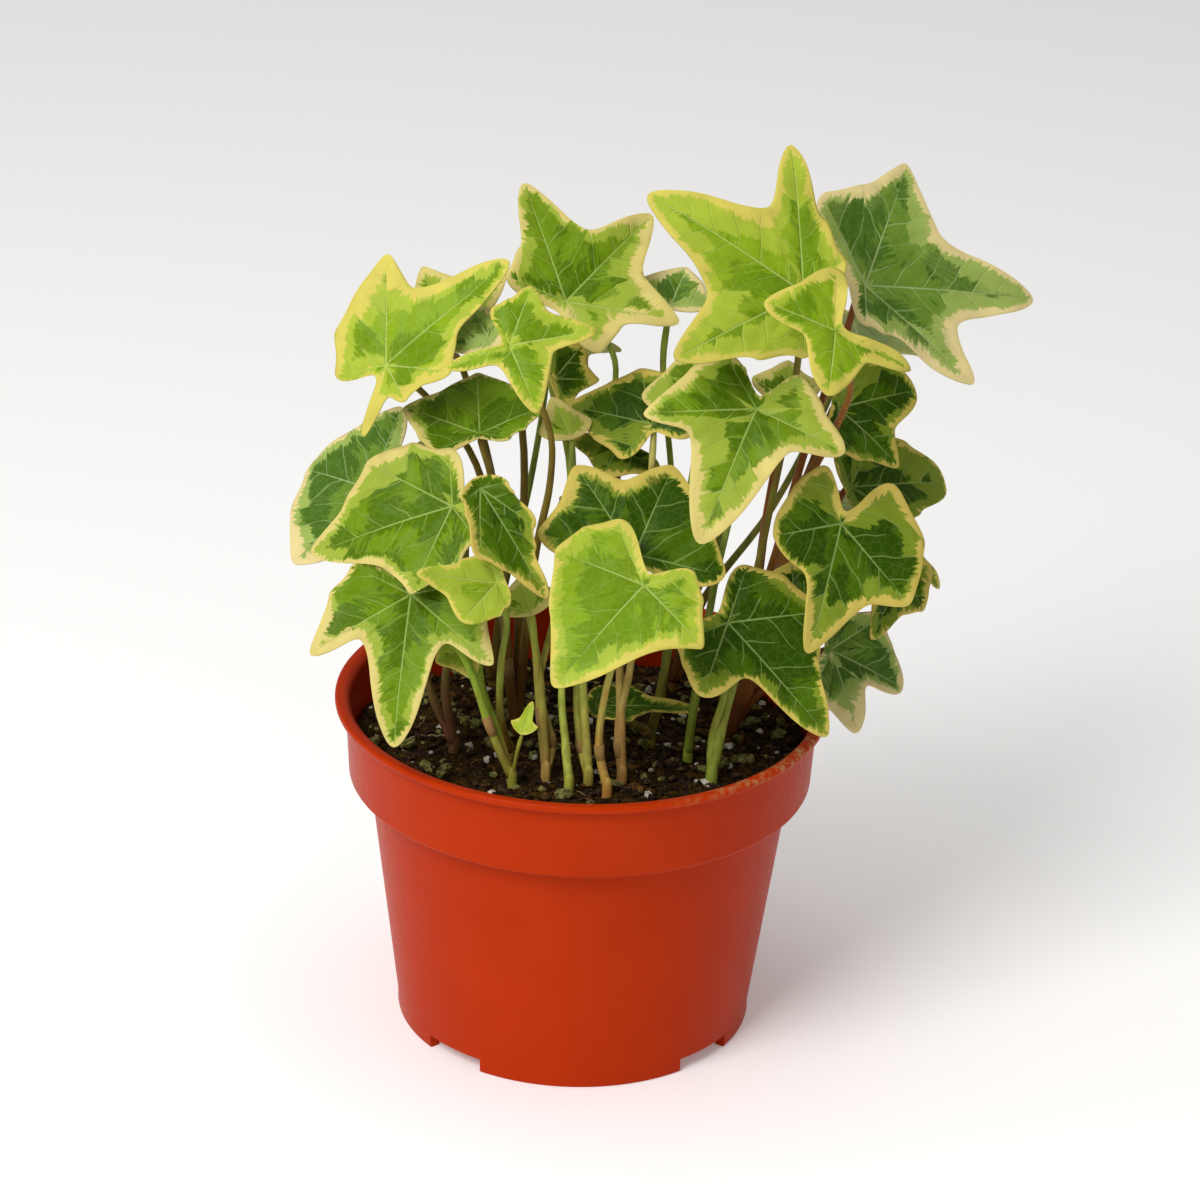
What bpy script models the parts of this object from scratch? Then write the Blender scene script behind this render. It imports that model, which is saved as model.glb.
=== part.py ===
"""Potted ivy: a variegated ivy in a thin plastic nursery pot, one node for each real piece.

Metres, +Z up. The origin is on the floor under the middle of the whole plant, so the pot's
axis stands a little to its left. The plant's tables are in millimetres from the pot's axis
and base, with the front at -Y, and one empty carries them all to their place.
"""
from math import atan2, cos, hypot, pi, radians, sin

import bpy
import bmesh
import numpy as np
from mathutils import Matrix, Vector

MM = 0.001
POT_AXIS = (-16.0, 0.6)  # the pot's axis, mm from the middle of the plant

# Pot, mm
POT_HEIGHT = 75.7
LIP_RADIUS = 53.5
LIP_THICK = 1.7
COLLAR_TOP_RADIUS = 51.2
COLLAR_RADIUS = 50.3
COLLAR_Z = 57.6
BODY_TOP_RADIUS = 46.0
BASE_RADIUS = 38.7
WALL = 1.1
FOOT_HEIGHT = 3.2
FOOT_WALL = 1.6
FOOT_GAP_ANGLES = (49, 139, 229, 319)
FOOT_GAP_WIDTH = 14.6
DRAIN_RADIUS = 4.0
DRAIN_RING = 25.0
DRAIN_COUNT = 8
POT_STEPS = 48

# Soil, mm: its top falls away towards the back
SOIL_TOP = 67.0
SOIL_SLOPE = 0.12
SOIL_MOUND = 1.6
GAP = 0.3
SOCKET_DEPTH = 5.0
SOCKET_SLACK = 0.45  # between a stem's foot and its socket

# Plant, mm
LEAF_THICK = 0.5
STUMP_RADIUS = 1.2
STUMP_RISE = 3.0
STALK_SINK = 1.2    # how deep a stalk starts in its stem's foot
STALK_STOP = (1.5, 0.8)  # where a stalk stops: below its leaf, and back from the junction
PETIOLE_RADIUS = 0.65
POINTED = 42        # half angles of a lobe's tip, degrees
BLUNT = 62
ROUND = 85
BAY_PULL = 0.18     # how far a bay's and a tip's direction carry along the edge between them
TIP_PULL = 0.42
NOTCH_DEPTH = 0.09  # share of the longest lobe

# Each leaf: where its stalk joins it, the compass side and the slope that it faces, the turn
# of its middle lobe from straight downhill, its lobes (angle, length, half angle of the tip)
# and the bays between them (angle, depth), then its fold in degrees and its droop.
LEAVES = {
    "leaf_01": ((-43, -10, 155), (-35, 55), 147,
               ((-150, 12, BLUNT), (-52, 24, POINTED), (0, 35, POINTED), (50, 18, BLUNT), (90, 12, BLUNT),
                (136, 17, POINTED)),
               ((-108, 14), (-32, 17), (22, 17), (70, 12), (112, 8)), 12, 0.05),
    "leaf_02": ((-6, 4, 165), (11, 46), 134,
               ((-111, 14, BLUNT), (-59, 29, POINTED), (0, 30, POINTED), (58, 25, POINTED), (107, 14, BLUNT)),
               ((-83, 15), (-25, 17), (27, 18), (74, 13)), 6, 0.12),
    "leaf_03": ((-17, -22, 165), (0, 50), 104,
               ((-98, 9, ROUND), (-59, 14, BLUNT), (0, 19, POINTED), (80, 16, POINTED), (172, 14, POINTED)),
               ((-78, 10), (-33, 11), (22, 9), (130, 5)), 4, 0.15),
    "leaf_04": ((-23, -14, 142), (-10, 32), -167,
               ((-112, 11, ROUND), (-62, 18, BLUNT), (0, 18, POINTED), (68, 15, BLUNT), (108, 7, BLUNT)),
               ((-88, 13), (-33, 14), (36, 14), (90, 10)), 4, 0.1),
    "leaf_05": ((-8, 5, 147), (10, 50), 88,
               ((-114, 8, BLUNT), (-50, 11, BLUNT), (0, 10, POINTED), (68, 7, BLUNT)),
               ((-82, 8), (-25, 8), (33, 6)), 5, 0.1),
    "leaf_06": ((13, -6, 142), (-10, 35), -160,
               ((-128, 11, BLUNT), (-63, 19, BLUNT), (0, 15, BLUNT), (70, 13, BLUNT), (125, 9, BLUNT)),
               ((-92, 13), (-32, 14), (35, 12), (98, 9)), 5, 0.08),
    "leaf_07": ((34, -20, 152), (0, 48), -21,
               ((-145, 12, ROUND), (-84, 21, BLUNT), (0, 32, POINTED), (64, 24, POINTED), (128, 13, ROUND)),
               ((-112, 14), (-56, 12), (45, 15), (98, 16)), 7, 0.12),
    "leaf_08": ((43, -10, 174), (23, 52), -130,
               ((-115, 15, BLUNT), (-59, 35, POINTED), (3, 39, POINTED), (58, 33, POINTED), (111, 12, BLUNT)),
               ((-82, 20), (-33, 21), (37, 19), (78, 17)), 8, 0.1),
    "leaf_09": ((49, -28, 173), (25, 48), 58,
               ((0, 19, POINTED), (81, 15, BLUNT), (180, 16, BLUNT), (254, 14, ROUND)),
               ((27, 9), (145, 7), (216, 12)), 6, 0.12),
    "leaf_10": ((57, 14, 167), (25, 48), 80,
               ((-113, 22, BLUNT), (-67, 31, POINTED), (0, 42, POINTED), (46, 32, POINTED), (98, 10, BLUNT)),
               ((-88, 22), (-34, 22), (23, 22), (80, 12)), 9, 0.1),
    "leaf_11": ((52, -1, 145), (35, 50), 36,
               ((-105, 14, ROUND), (-54, 21, ROUND), (0, 19, POINTED), (62, 10, BLUNT)),
               ((-80, 18), (-23, 14), (30, 12)), 6, 0.12),
    "leaf_12": ((56, 6, 124), (40, 48), 80,
               ((-100, 9, BLUNT), (-50, 17, BLUNT), (0, 28, ROUND), (38, 16, BLUNT), (90, 7, BLUNT)),
               ((-76, 10), (-26, 20), (24, 18), (64, 10)), 6, 0.1),
    "leaf_13": ((53, -18, 126), (30, 62), -27,
               ((-134, 16, ROUND), (-57, 23, BLUNT), (0, 29, POINTED), (64, 17, ROUND), (142, 13, ROUND)),
               ((-93, 20), (-35, 18), (27, 14), (103, 14)), 8, 0.1),
    "leaf_14": ((67, -3, 110), (55, 60), -56,
               ((-120, 9, BLUNT), (-55, 11, BLUNT), (0, 20, POINTED), (60, 12, BLUNT), (120, 8, BLUNT)),
               ((-88, 8), (-26, 11), (26, 13), (90, 8)), 8, 0.1),
    "leaf_15": ((68, 10, 109), (60, 60), 32,
               ((-70, 6, BLUNT), (0, 16, POINTED), (70, 6, BLUNT)),
               ((-28, 7), (28, 7)), 25, 0.1),
    "leaf_16": ((53, -6, 91), (30, 58), 55,
               ((-104, 10, BLUNT), (-54, 15, BLUNT), (0, 20, ROUND), (50, 19, BLUNT), (96, 13, BLUNT)),
               ((-80, 10), (-27, 16), (22, 11), (74, 13)), 6, 0.1),
    "leaf_17": ((30, -28, 107), (15, 58), 38,
               ((-117, 13, ROUND), (-54, 22, POINTED), (0, 33, POINTED), (65, 17, ROUND), (112, 13, BLUNT)),
               ((-84, 16), (-26, 21), (29, 12), (89, 14)), 6, 0.1),
    "leaf_18": ((12, -41, 121), (-5, 42), -36,
               ((-142, 11, ROUND), (-82, 19, POINTED), (0, 29, POINTED), (72, 20, BLUNT), (116, 16, ROUND)),
               ((-112, 13), (-54, 15), (34, 20), (93, 18)), 6, 0.12),
    "leaf_19": ((10, -26, 121), (5, 52), 156,
               ((-101, 21, BLUNT), (-56, 23, BLUNT), (0, 22, BLUNT), (80, 20, BLUNT)),
               ((-79, 19), (-30, 16), (40, 17)), 5, 0.1),
    "leaf_20": ((-22, -31, 137), (20, 58), 25,
               ((-70, 6, BLUNT), (-24, 14, BLUNT), (0, 27, POINTED), (40, 16, BLUNT), (86, 6, BLUNT)),
               ((-50, 7), (-11, 17), (19, 18), (64, 8)), 22, 0.06),
    "leaf_21": ((-18, -38, 119), (30, 45), -108,
               ((-110, 6, BLUNT), (-50, 13, ROUND), (0, 18, POINTED), (70, 7, BLUNT)),
               ((-90, 8), (-24, 12), (24, 9)), 10, 0.06),
    "leaf_22": ((-28, -27, 131), (-20, 50), -63,
               ((-112, 10, BLUNT), (-54, 21, POINTED), (0, 33, POINTED), (43, 22, BLUNT), (100, 13, BLUNT)),
               ((-83, 14), (-28, 19), (20, 24), (70, 17)), 7, 0.12),
    "leaf_23": ((-46, -8, 126), (-40, 45), -88,
               ((-123, 18, BLUNT), (-68, 23, BLUNT), (0, 20, BLUNT), (82, 20, BLUNT)),
               ((-94, 17), (-33, 19), (40, 16)), 6, 0.1),
    "leaf_24": ((-36, -32, 113), (-8, 52), 0,
               ((-104, 14, BLUNT), (-55, 24, POINTED), (0, 33, POINTED), (53, 25, POINTED), (109, 14, BLUNT)),
               ((-80, 17), (-40, 13), (40, 14), (83, 17)), 7, 0.1),
    "leaf_25": ((-23, -27, 100), (-10, 50), -55,
               ((-60, 8, BLUNT), (0, 9, BLUNT), (60, 8, BLUNT)),
               ((-30, 7), (30, 7)), 5, 0.1),
    "leaf_26": ((-21, -10, 160), (-10, 50), -147,
               ((-60, 10, BLUNT), (0, 11, POINTED), (60, 7, BLUNT)),
               ((-30, 9), (30, 8)), 6, 0.1),
    "leaf_27": ((-12, -38, 85), (0, 60), 164,
               ((-63, 3.5, POINTED), (0, 7, POINTED), (55, 3.5, POINTED)),
               ((-34, 3), (30, 3)), 8, 0.1),
    "leaf_28": ((3, -18, 82), (0, 15), 93,
               ((-80, 6, BLUNT), (-32, 10, BLUNT), (0, 23, POINTED), (40, 10, BLUNT), (80, 6, BLUNT)),
               ((-54, 7), (-16, 11), (18, 11), (60, 7)), 8, 0.05),
    "leaf_29": ((16, 16, 160), (5, 45), 157,
               ((-70, 9, BLUNT), (0, 10, BLUNT), (60, 9, BLUNT)),
               ((-33, 8), (30, 9)), 6, 0.1),
    "leaf_30": ((-31, 0, 156), (-20, 50), -148,
               ((-80, 8, BLUNT), (0, 20, POINTED), (55, 22, POINTED)),
               ((-30, 11), (30, 15)), 6, 0.1),
    "leaf_31": ((24, -6, 147), (0, 50), -162,
               ((-67, 14, BLUNT), (0, 13, BLUNT), (62, 12, BLUNT)),
               ((-36, 11), (30, 11)), 6, 0.1),
    "leaf_32": ((6, 0, 134), (0, 40), -25,
               ((-82, 11, BLUNT), (0, 8, BLUNT), (70, 10, BLUNT)),
               ((-44, 7), (37, 7)), 6, 0.1),
    "leaf_33": ((41, 2, 145), (10, 45), 169,
               ((-60, 9, BLUNT), (0, 10, BLUNT), (55, 9, BLUNT)),
               ((-30, 8), (28, 8)), 6, 0.1),
    "leaf_34": ((44, -21, 109), (10, 50), 180,
               ((-60, 8, BLUNT), (0, 9, BLUNT), (55, 8, BLUNT)),
               ((-30, 8), (28, 8)), 6, 0.1),
    "leaf_35": ((-11, -28, 108), (0, 50), -157,
               ((-60, 9, BLUNT), (0, 8, BLUNT), (68, 7, BLUNT)),
               ((-33, 7), (34, 6)), 6, 0.1),
    "leaf_36": ((-4, -9, 140), (0, 45), -154,
               ((-60, 7, BLUNT), (0, 10, BLUNT), (70, 6, BLUNT)),
               ((-30, 7), (34, 6)), 6, 0.1),
    "leaf_37": ((-43, 14, 124), (-140, 50), 10,
               ((-108, 11, BLUNT), (-56, 19, POINTED), (0, 24, POINTED), (56, 18, POINTED), (108, 11, BLUNT)),
               ((-82, 12), (-28, 13), (28, 13), (82, 12)), 8, 0.12),
    "leaf_38": ((4, 26, 108), (170, 48), -8,
               ((-110, 11, BLUNT), (-58, 18, POINTED), (0, 25, POINTED), (54, 18, POINTED), (106, 11, BLUNT)),
               ((-84, 12), (-29, 13), (27, 13), (80, 12)), 8, 0.12),
    "leaf_39": ((54, 28, 112), (140, 50), 6,
               ((-106, 10, BLUNT), (-54, 17, POINTED), (0, 23, POINTED), (58, 18, POINTED), (110, 10, BLUNT)),
               ((-80, 11), (-27, 12), (29, 13), (84, 12)), 8, 0.12),
    "leaf_40": ((36, 24, 134), (172, 50), 12,
               ((-108, 10, BLUNT), (-56, 17, POINTED), (0, 22, POINTED), (56, 17, POINTED), (108, 10, BLUNT)),
               ((-82, 11), (-28, 12), (28, 12), (82, 11)), 8, 0.12),
    "leaf_41": ((-10, 26, 149), (165, 45), -14,
               ((-108, 10, BLUNT), (-56, 17, POINTED), (0, 22, POINTED), (56, 17, POINTED), (108, 10, BLUNT)),
               ((-82, 11), (-28, 12), (28, 12), (82, 11)), 8, 0.12),
    "leaf_42": ((56, 34, 152), (150, 46), 8,
               ((-108, 11, BLUNT), (-56, 19, POINTED), (0, 25, POINTED), (56, 19, POINTED), (108, 11, BLUNT)),
               ((-82, 12), (-28, 14), (28, 14), (82, 12)), 8, 0.12),
}

# Each stem: the spot on the soil where it rises, and its stalks, as the leaf that each one
# carries and the points that it passes on the way.
STEMS = {
    "stem_front_left": ((-14, -36), {
        "leaf_24": ((-19, -34, 84), (-24, -33, 98), (-31, -31, 107)),
        "leaf_25": ((-18, -31, 83), (-21, -28, 91)),
        "leaf_27": ((-13, -37, 80),)}),
    "stem_left_curl": ((-15, -22), {
        "leaf_21": ((-17, -27, 83), (-17, -31, 97), (-16, -31, 107))}),
    "stem_left": ((-27, -18), {
        "leaf_23": ((-32, -15, 82), (-38, -11, 102), (-43, -7, 114)),
        "leaf_22": ((-29, -19, 87), (-26, -22, 107), (-25, -23, 120))}),
    "stem_middle_back": ((-14, -8), {
        "leaf_01": ((-16, -5, 84), (-18, -2, 104), (-24, 2, 128), (-35, 3, 143)),
        "leaf_04": ((-16, -9, 86), (-17, -10, 101), (-20, -12, 129)),
        "leaf_03": ((-13, -7, 84), (-11, -9, 111), (-8, -12, 131), (-9, -16, 146)),
        "leaf_26": ((-14, -1, 95), (-14, 5, 130), (-18, 1, 153)),
        "leaf_30": ((-17, 0, 90), (-20, 6, 120), (-27, 8, 146))}),
    "stem_thin_front": ((-7, -32), {
        "leaf_05": ((-6, -28, 78), (-9, -25, 90), (-6, -17, 104), (-4, -2, 128)),
        "leaf_20": ((-9, -26, 92), (-13, -20, 110), (-19, -22, 126)),
        "leaf_35": ((-9, -27, 88), (-10, -26, 98))}),
    "stem_front_a": ((-2, -38), {
        "leaf_19": ((-3, -33, 80), (-4, -29, 93), (1, -25, 108))}),
    "stem_front_b": ((2, -34), {
        "leaf_02": ((0, -29, 79), (-1, -24, 90), (0, -10, 112), (4, 6, 138), (4, 9, 152)),
        "leaf_36": ((0, -24, 92), (-1, -16, 110), (-3, -8, 126))}),
    "stem_front_c": ((6, -40), {
        "leaf_18": ((4, -37, 82), (5, -38, 95), (8, -39, 108))}),
    "stem_front_d": ((9, -33), {
        "leaf_06": ((8, -29, 83), (10, -26, 95), (12, -17, 116), (13, -10, 132)),
        "leaf_32": ((8, -26, 90), (7, -16, 108), (6, -6, 124))}),
    "stem_middle": ((15, -11), {
        "leaf_28": ((12, -15, 76),),
        "leaf_29": ((17, -9, 82), (18, -4, 95), (18, 6, 120), (15, 12, 146)),
        "leaf_31": ((18, -8, 90), (20, -4, 112), (22, -4, 132))}),
    "stem_right_thin": ((23, -19), {
        "leaf_07": ((24, -20, 85), (27, -19, 111), (29, -17, 122), (32, -18, 140))}),
    "stem_right_front": ((28, -29), {
        "leaf_17": ((28, -26, 80), (30, -25, 90)),
        "leaf_08": ((31, -22, 88), (35, -15, 107), (38, -11, 124), (42, -7, 150)),
        "leaf_34": ((32, -18, 88), (38, -12, 98))}),
    "stem_right": ((31, -7), {
        "leaf_09": ((36, -9, 85), (40, -10, 105), (45, -8, 128), (49, -9, 139), (52, -14, 149),
                    (53, -20, 158)),
        "leaf_13": ((36, -9, 86), (44, -9, 104), (50, -12, 117)),
        "leaf_11": ((35, -6, 86), (40, -5, 112), (47, -4, 134)),
        "leaf_16": ((37, -7, 80), (45, -6, 87))}),
    "stem_right_back": ((33, 8), {
        "leaf_10": ((36, 6, 84), (40, 5, 105), (46, 8, 132), (53, 13, 155)),
        "leaf_12": ((38, 6, 84), (44, 5, 104), (51, 6, 116)),
        "leaf_14": ((40, 6, 80), (50, 3, 93), (61, 0, 103)),
        "leaf_15": ((42, 9, 80), (53, 9, 92), (62, 10, 102)),
        "leaf_33": ((36, 5, 90), (38, 5, 115), (40, 4, 134))}),
    "stem_back_left": ((-20, 24), {
        "leaf_37": ((-24, 22, 80), (-31, 18, 100), (-38, 15, 114)),
        "leaf_41": ((-18, 22, 90), (-13, 21, 115), (-10, 23, 138))}),
    "stem_back_right": ((20, 27), {
        "leaf_38": ((17, 26, 80), (11, 24, 95)),
        "leaf_40": ((23, 24, 85), (29, 21, 105), (34, 21, 124)),
        "leaf_39": ((28, 26, 80), (42, 26, 95), (53, 26, 105)),
        "leaf_42": ((26, 24, 88), (40, 21, 112), (52, 26, 138))}),
}


def clear_scene():
    for old in list(bpy.data.objects):
        bpy.data.objects.remove(old, do_unlink=True)


def collection(name):
    made = bpy.data.collections.new(name)
    bpy.context.scene.collection.children.link(made)
    return made


def material(name, colour, roughness):
    made = bpy.data.materials.new(name)
    made.use_nodes = True
    shader = made.node_tree.nodes["Principled BSDF"]
    shader.inputs["Base Color"].default_value = (*colour, 1.0)
    shader.inputs["Roughness"].default_value = roughness
    shader.inputs["Metallic"].default_value = 0.0
    return made


def place(name, mesh, home, look):
    """Links a mesh as an object carried by the root empty."""
    made = bpy.data.objects.new(name, mesh)
    home.objects.link(made)
    made.data.materials.clear()
    made.data.materials.append(look)
    made.parent = ROOT
    return made


def place_cutter(name, mesh):
    made = bpy.data.objects.new(name, mesh)
    CUTTERS.objects.link(made)
    made.parent = ROOT
    made.hide_render = True
    made.display_type = "WIRE"
    return made


def boolean(target, other, operation):
    step = target.modifiers.new(other.name, "BOOLEAN")
    step.operation = operation
    step.object = other
    step.solver = "EXACT"


def turned_mesh(name, profile):
    """An open line of (radius, height) in mm, which the Screw modifier turns."""
    mesh = bpy.data.meshes.new(name)
    points = [(radius * MM, 0.0, height * MM) for radius, height in profile]
    edges = [(i, i + 1) for i in range(len(points) - 1)]
    mesh.from_pydata(points, edges, [])
    return mesh


def add_screw(target, steps):
    turn = target.modifiers.new("turn", "SCREW")
    turn.steps = steps
    turn.render_steps = steps
    turn.use_merge_vertices = True
    turn.merge_threshold = 0.00001


def solid_mesh(name, build):
    """A mesh from one bmesh recipe."""
    bm = bmesh.new()
    build(bm)
    mesh = bpy.data.meshes.new(name)
    bm.to_mesh(mesh)
    bm.free()
    return mesh


def soil_height(x, y):
    """Height of the soil's top at a spot in mm from the pot's axis."""
    return SOIL_TOP - SOIL_SLOPE * y + SOIL_MOUND * (1 - (x * x + y * y) / 40 ** 2)


# ---- pot ----

def inner_radius(height):
    """Inside radius of the pot's wall."""
    if height >= COLLAR_Z + WALL:
        rise = (height - COLLAR_Z) / (POT_HEIGHT - COLLAR_Z)
        return COLLAR_RADIUS + (COLLAR_TOP_RADIUS - COLLAR_RADIUS) * rise - WALL
    rise = max(height, 0.0) / COLLAR_Z
    return BASE_RADIUS + (BODY_TOP_RADIUS - BASE_RADIUS) * rise - WALL


def pot_profile():
    floor_top = FOOT_HEIGHT + 0.4 + WALL
    lip_under = POT_HEIGHT - LIP_THICK
    inside = [(0, floor_top), (inner_radius(floor_top) - 1.0, floor_top),
              (inner_radius(floor_top + 1), floor_top + 1.0),
              (inner_radius(COLLAR_Z - 2.2), COLLAR_Z - 2.2),
              (inner_radius(COLLAR_Z + 1.6) - 0.7, COLLAR_Z - 0.4),
              (inner_radius(COLLAR_Z + 1.6), COLLAR_Z + 0.9),
              (inner_radius(POT_HEIGHT), POT_HEIGHT - 1.0),
              (inner_radius(POT_HEIGHT) + 0.9, POT_HEIGHT)]
    outside = [(LIP_RADIUS - 0.5, POT_HEIGHT), (LIP_RADIUS, POT_HEIGHT - 0.5),
               (LIP_RADIUS, lip_under + 0.3), (LIP_RADIUS - 0.3, lip_under),
               (COLLAR_TOP_RADIUS, lip_under),
               (COLLAR_RADIUS, COLLAR_Z + 0.7), (COLLAR_RADIUS - 0.5, COLLAR_Z),
               (BODY_TOP_RADIUS + 0.4, COLLAR_Z - 1.2), (BODY_TOP_RADIUS - 0.3, COLLAR_Z - 2.0)]
    foot = [(BASE_RADIUS + 0.3, FOOT_HEIGHT), (BASE_RADIUS, 0.9), (BASE_RADIUS - 0.5, 0.2),
            (BASE_RADIUS - 1.0, 0.0), (BASE_RADIUS - FOOT_WALL - 0.6, 0.0),
            (BASE_RADIUS - FOOT_WALL - 0.8, FOOT_HEIGHT + 0.4), (0, FOOT_HEIGHT + 0.4)]
    return inside + outside + foot


def cut_feet(pot):
    """Four gaps in the standing ring leave four feet."""
    for number, angle in enumerate(FOOT_GAP_ANGLES):
        def block(bm):
            bmesh.ops.create_cube(bm, size=1.0)
            size = Vector((8.0, FOOT_GAP_WIDTH, FOOT_HEIGHT + 1.0)) * MM
            bmesh.ops.scale(bm, vec=size, verts=bm.verts)
            middle = Vector((BASE_RADIUS, 0.0, (FOOT_HEIGHT - 1.0) / 2)) * MM
            bmesh.ops.translate(bm, vec=middle, verts=bm.verts)
            spin = Matrix.Rotation(radians(angle), 3, "Z")
            bmesh.ops.rotate(bm, cent=(0, 0, 0), matrix=spin, verts=bm.verts)
        cutter = place_cutter(f"foot_gap_cut_{number + 1}", solid_mesh("foot_gap_cut", block))
        boolean(pot, cutter, "DIFFERENCE")


def cut_drains(pot):
    """Round drain holes: a ring of them and one in the middle of the floor."""
    spots = [(0.0, 0.0)]
    for number in range(DRAIN_COUNT):
        angle = radians(4 + 360 * number / DRAIN_COUNT)
        spots.append((DRAIN_RING * cos(angle), DRAIN_RING * sin(angle)))
    for number, (x, y) in enumerate(spots):
        def drill(bm):
            bmesh.ops.create_cone(bm, cap_ends=True, segments=12, radius1=DRAIN_RADIUS * MM,
                                  radius2=DRAIN_RADIUS * MM, depth=6 * MM)
            bmesh.ops.translate(bm, vec=Vector((x, y, FOOT_HEIGHT + 1)) * MM, verts=bm.verts)
        boolean(pot, place_cutter(f"drain_cut_{number}", solid_mesh("drain_cut", drill)), "DIFFERENCE")


def make_pot():
    look = material("red_plastic", (0.52, 0.07, 0.02), 0.38)
    pot = place("pot", turned_mesh("pot", pot_profile()), PARTS, look)
    add_screw(pot, POT_STEPS)
    cut_feet(pot)
    cut_drains(pot)


# ---- soil ----

def make_soil():
    """The root ball: a plug that fits the pot, with a socket under each stem."""
    look = material("peat", (0.02, 0.014, 0.009), 0.95)
    floor = FOOT_HEIGHT + 0.4 + WALL + GAP
    edge_gap = GAP + 0.35
    wide, narrow = inner_radius(COLLAR_Z + 2) - edge_gap, inner_radius(COLLAR_Z - 2) - edge_gap
    rings = ((0, SOIL_TOP), (16, SOIL_TOP), (32, SOIL_TOP), (wide, SOIL_TOP),
             (wide, COLLAR_Z + 1.5), (wide - 1.0, COLLAR_Z + 0.4), (narrow - 0.1, COLLAR_Z - 1.6),
             (inner_radius(floor) - 1.6, floor + 1.0), (inner_radius(floor) - 2.6, floor), (0, floor))
    bm = bmesh.new()
    line = [bm.verts.new((radius * MM, 0, height * MM)) for radius, height in rings]
    edges = [bm.edges.new(pair) for pair in zip(line, line[1:])]
    bmesh.ops.spin(bm, geom=line + edges, cent=(0, 0, 0), axis=(0, 0, -1), angle=2 * pi,
                   steps=32, use_merge=True)
    bmesh.ops.remove_doubles(bm, verts=bm.verts, dist=0.00001)
    bmesh.ops.recalc_face_normals(bm, faces=bm.faces)
    for vert in bm.verts:
        if vert.co.z > (SOIL_TOP - 0.01) * MM:
            vert.co.z = soil_height(vert.co.x / MM, vert.co.y / MM) * MM
    mesh = bpy.data.meshes.new("soil")
    bm.to_mesh(mesh)
    bm.free()
    soil = place("soil", mesh, PARTS, look)
    for name, ((x, y), _) in STEMS.items():
        def socket(bm):
            width = (STUMP_RADIUS + SOCKET_SLACK) * MM
            bmesh.ops.create_cone(bm, cap_ends=True, segments=8, radius1=width, radius2=width,
                                  depth=2 * SOCKET_DEPTH * MM)
            bmesh.ops.translate(bm, vec=Vector((x, y, soil_height(x, y))) * MM, verts=bm.verts)
        boolean(soil, place_cutter(f"{name}_socket", solid_mesh("socket", socket)), "DIFFERENCE")


# ---- leaves ----

def polar(angle, length):
    """A point of a leaf's plane: 0 degrees is up the middle lobe, clockwise from above."""
    return np.array((length * sin(radians(angle)), length * cos(radians(angle))))


def bezier(points, steps):
    t = np.linspace(0, 1, steps + 1)[:-1, None]
    a, b, c, d = points
    return (1 - t) ** 3 * a + 3 * (1 - t) ** 2 * t * b + 3 * (1 - t) * t * t * c + t ** 3 * d


def half_lobe(bay, lobe, side):
    """Control points of the edge from a bay to the tip of a lobe, side -1 before it, 1 after."""
    angle, length, half_angle = lobe
    tip = polar(angle, length)
    reach = np.linalg.norm(tip - bay)
    outward = bay / np.linalg.norm(bay)
    along = -side * np.array((outward[1], -outward[0]))
    opening = radians(half_angle)
    back = cos(opening) * polar(angle, 1) - side * sin(opening) * polar(angle + 90, 1)
    return bay, bay + BAY_PULL * reach * along, tip - TIP_PULL * reach * back, tip


def leaf_outline(lobes, bays, steps):
    """Points round a leaf, from the notch at its stalk clockwise back to it."""
    first, last = lobes[0][0], lobes[-1][0]
    notch = polar((first + last) / 2 + 180, NOTCH_DEPTH * max(lobe[1] for lobe in lobes))
    starts = [notch] + [polar(*bay) for bay in bays] + [notch]
    rim = []
    for number, lobe in enumerate(lobes):
        rim.append(bezier(half_lobe(starts[number], lobe, -1), steps))
        rim.append(bezier(half_lobe(starts[number + 1], lobe, 1)[::-1], steps))
    return np.concatenate(rim)


def leaf_axes(faces, turn):
    """Sideways, forward and face directions of a leaf."""
    compass, slope = radians(faces[0]), radians(faces[1])
    level = Vector((sin(compass), -cos(compass), 0.0))
    face = level * sin(slope) + Vector((0, 0, cos(slope)))
    downhill = level * cos(slope) - Vector((0, 0, sin(slope)))
    forward = downhill * cos(radians(turn)) + face.cross(downhill) * sin(radians(turn))
    return forward.cross(face), forward, face


def leaf_point(x, y, reach, fold, droop):
    """Lifts a flat leaf point: both halves rise from the midrib and the rim droops."""
    rise = (x * x + 1) ** 0.5 - 1
    bent_x = x - (1 if x > 0 else -1) * (1 - cos(radians(fold))) * rise
    return bent_x, y, sin(radians(fold)) * rise - droop * (x * x + y * y) / reach


def make_leaf(name, spot, faces, turn, lobes, bays, fold, droop):
    look = material(f"{name}_green", (0.10, 0.22, 0.03), 0.45)
    rim = leaf_outline(lobes, bays, 2)
    reach = max(lobe[1] for lobe in lobes)
    side, forward, face = leaf_axes(faces, turn)

    def blade(bm):
        bmesh.ops.create_circle(bm, cap_ends=True, cap_tris=True, segments=len(rim), radius=0.5)
        border = [edge for edge in bm.edges if edge.is_boundary]
        grown = bmesh.ops.extrude_edge_only(bm, edges=border)["geom"]
        outer = [item for item in grown if isinstance(item, bmesh.types.BMVert)]
        bmesh.ops.scale(bm, vec=(2, 2, 2), verts=outer)
        for vert in bm.verts:
            share = hypot(vert.co.x, vert.co.y)
            number = round(atan2(vert.co.x, vert.co.y) / (2 * pi) * len(rim)) % len(rim)
            x, y, z = leaf_point(*(share * rim[number]), reach, fold, droop)
            vert.co = (Vector(spot) + side * x + forward * y + face * z) * MM
        bmesh.ops.recalc_face_normals(bm, faces=bm.faces)

    leaf = place(name, solid_mesh(name, blade), PARTS, look)
    wall = leaf.modifiers.new("thickness", "SOLIDIFY")
    wall.thickness = LEAF_THICK * MM
    wall.offset = 0.0


# ---- stems ----

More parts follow.
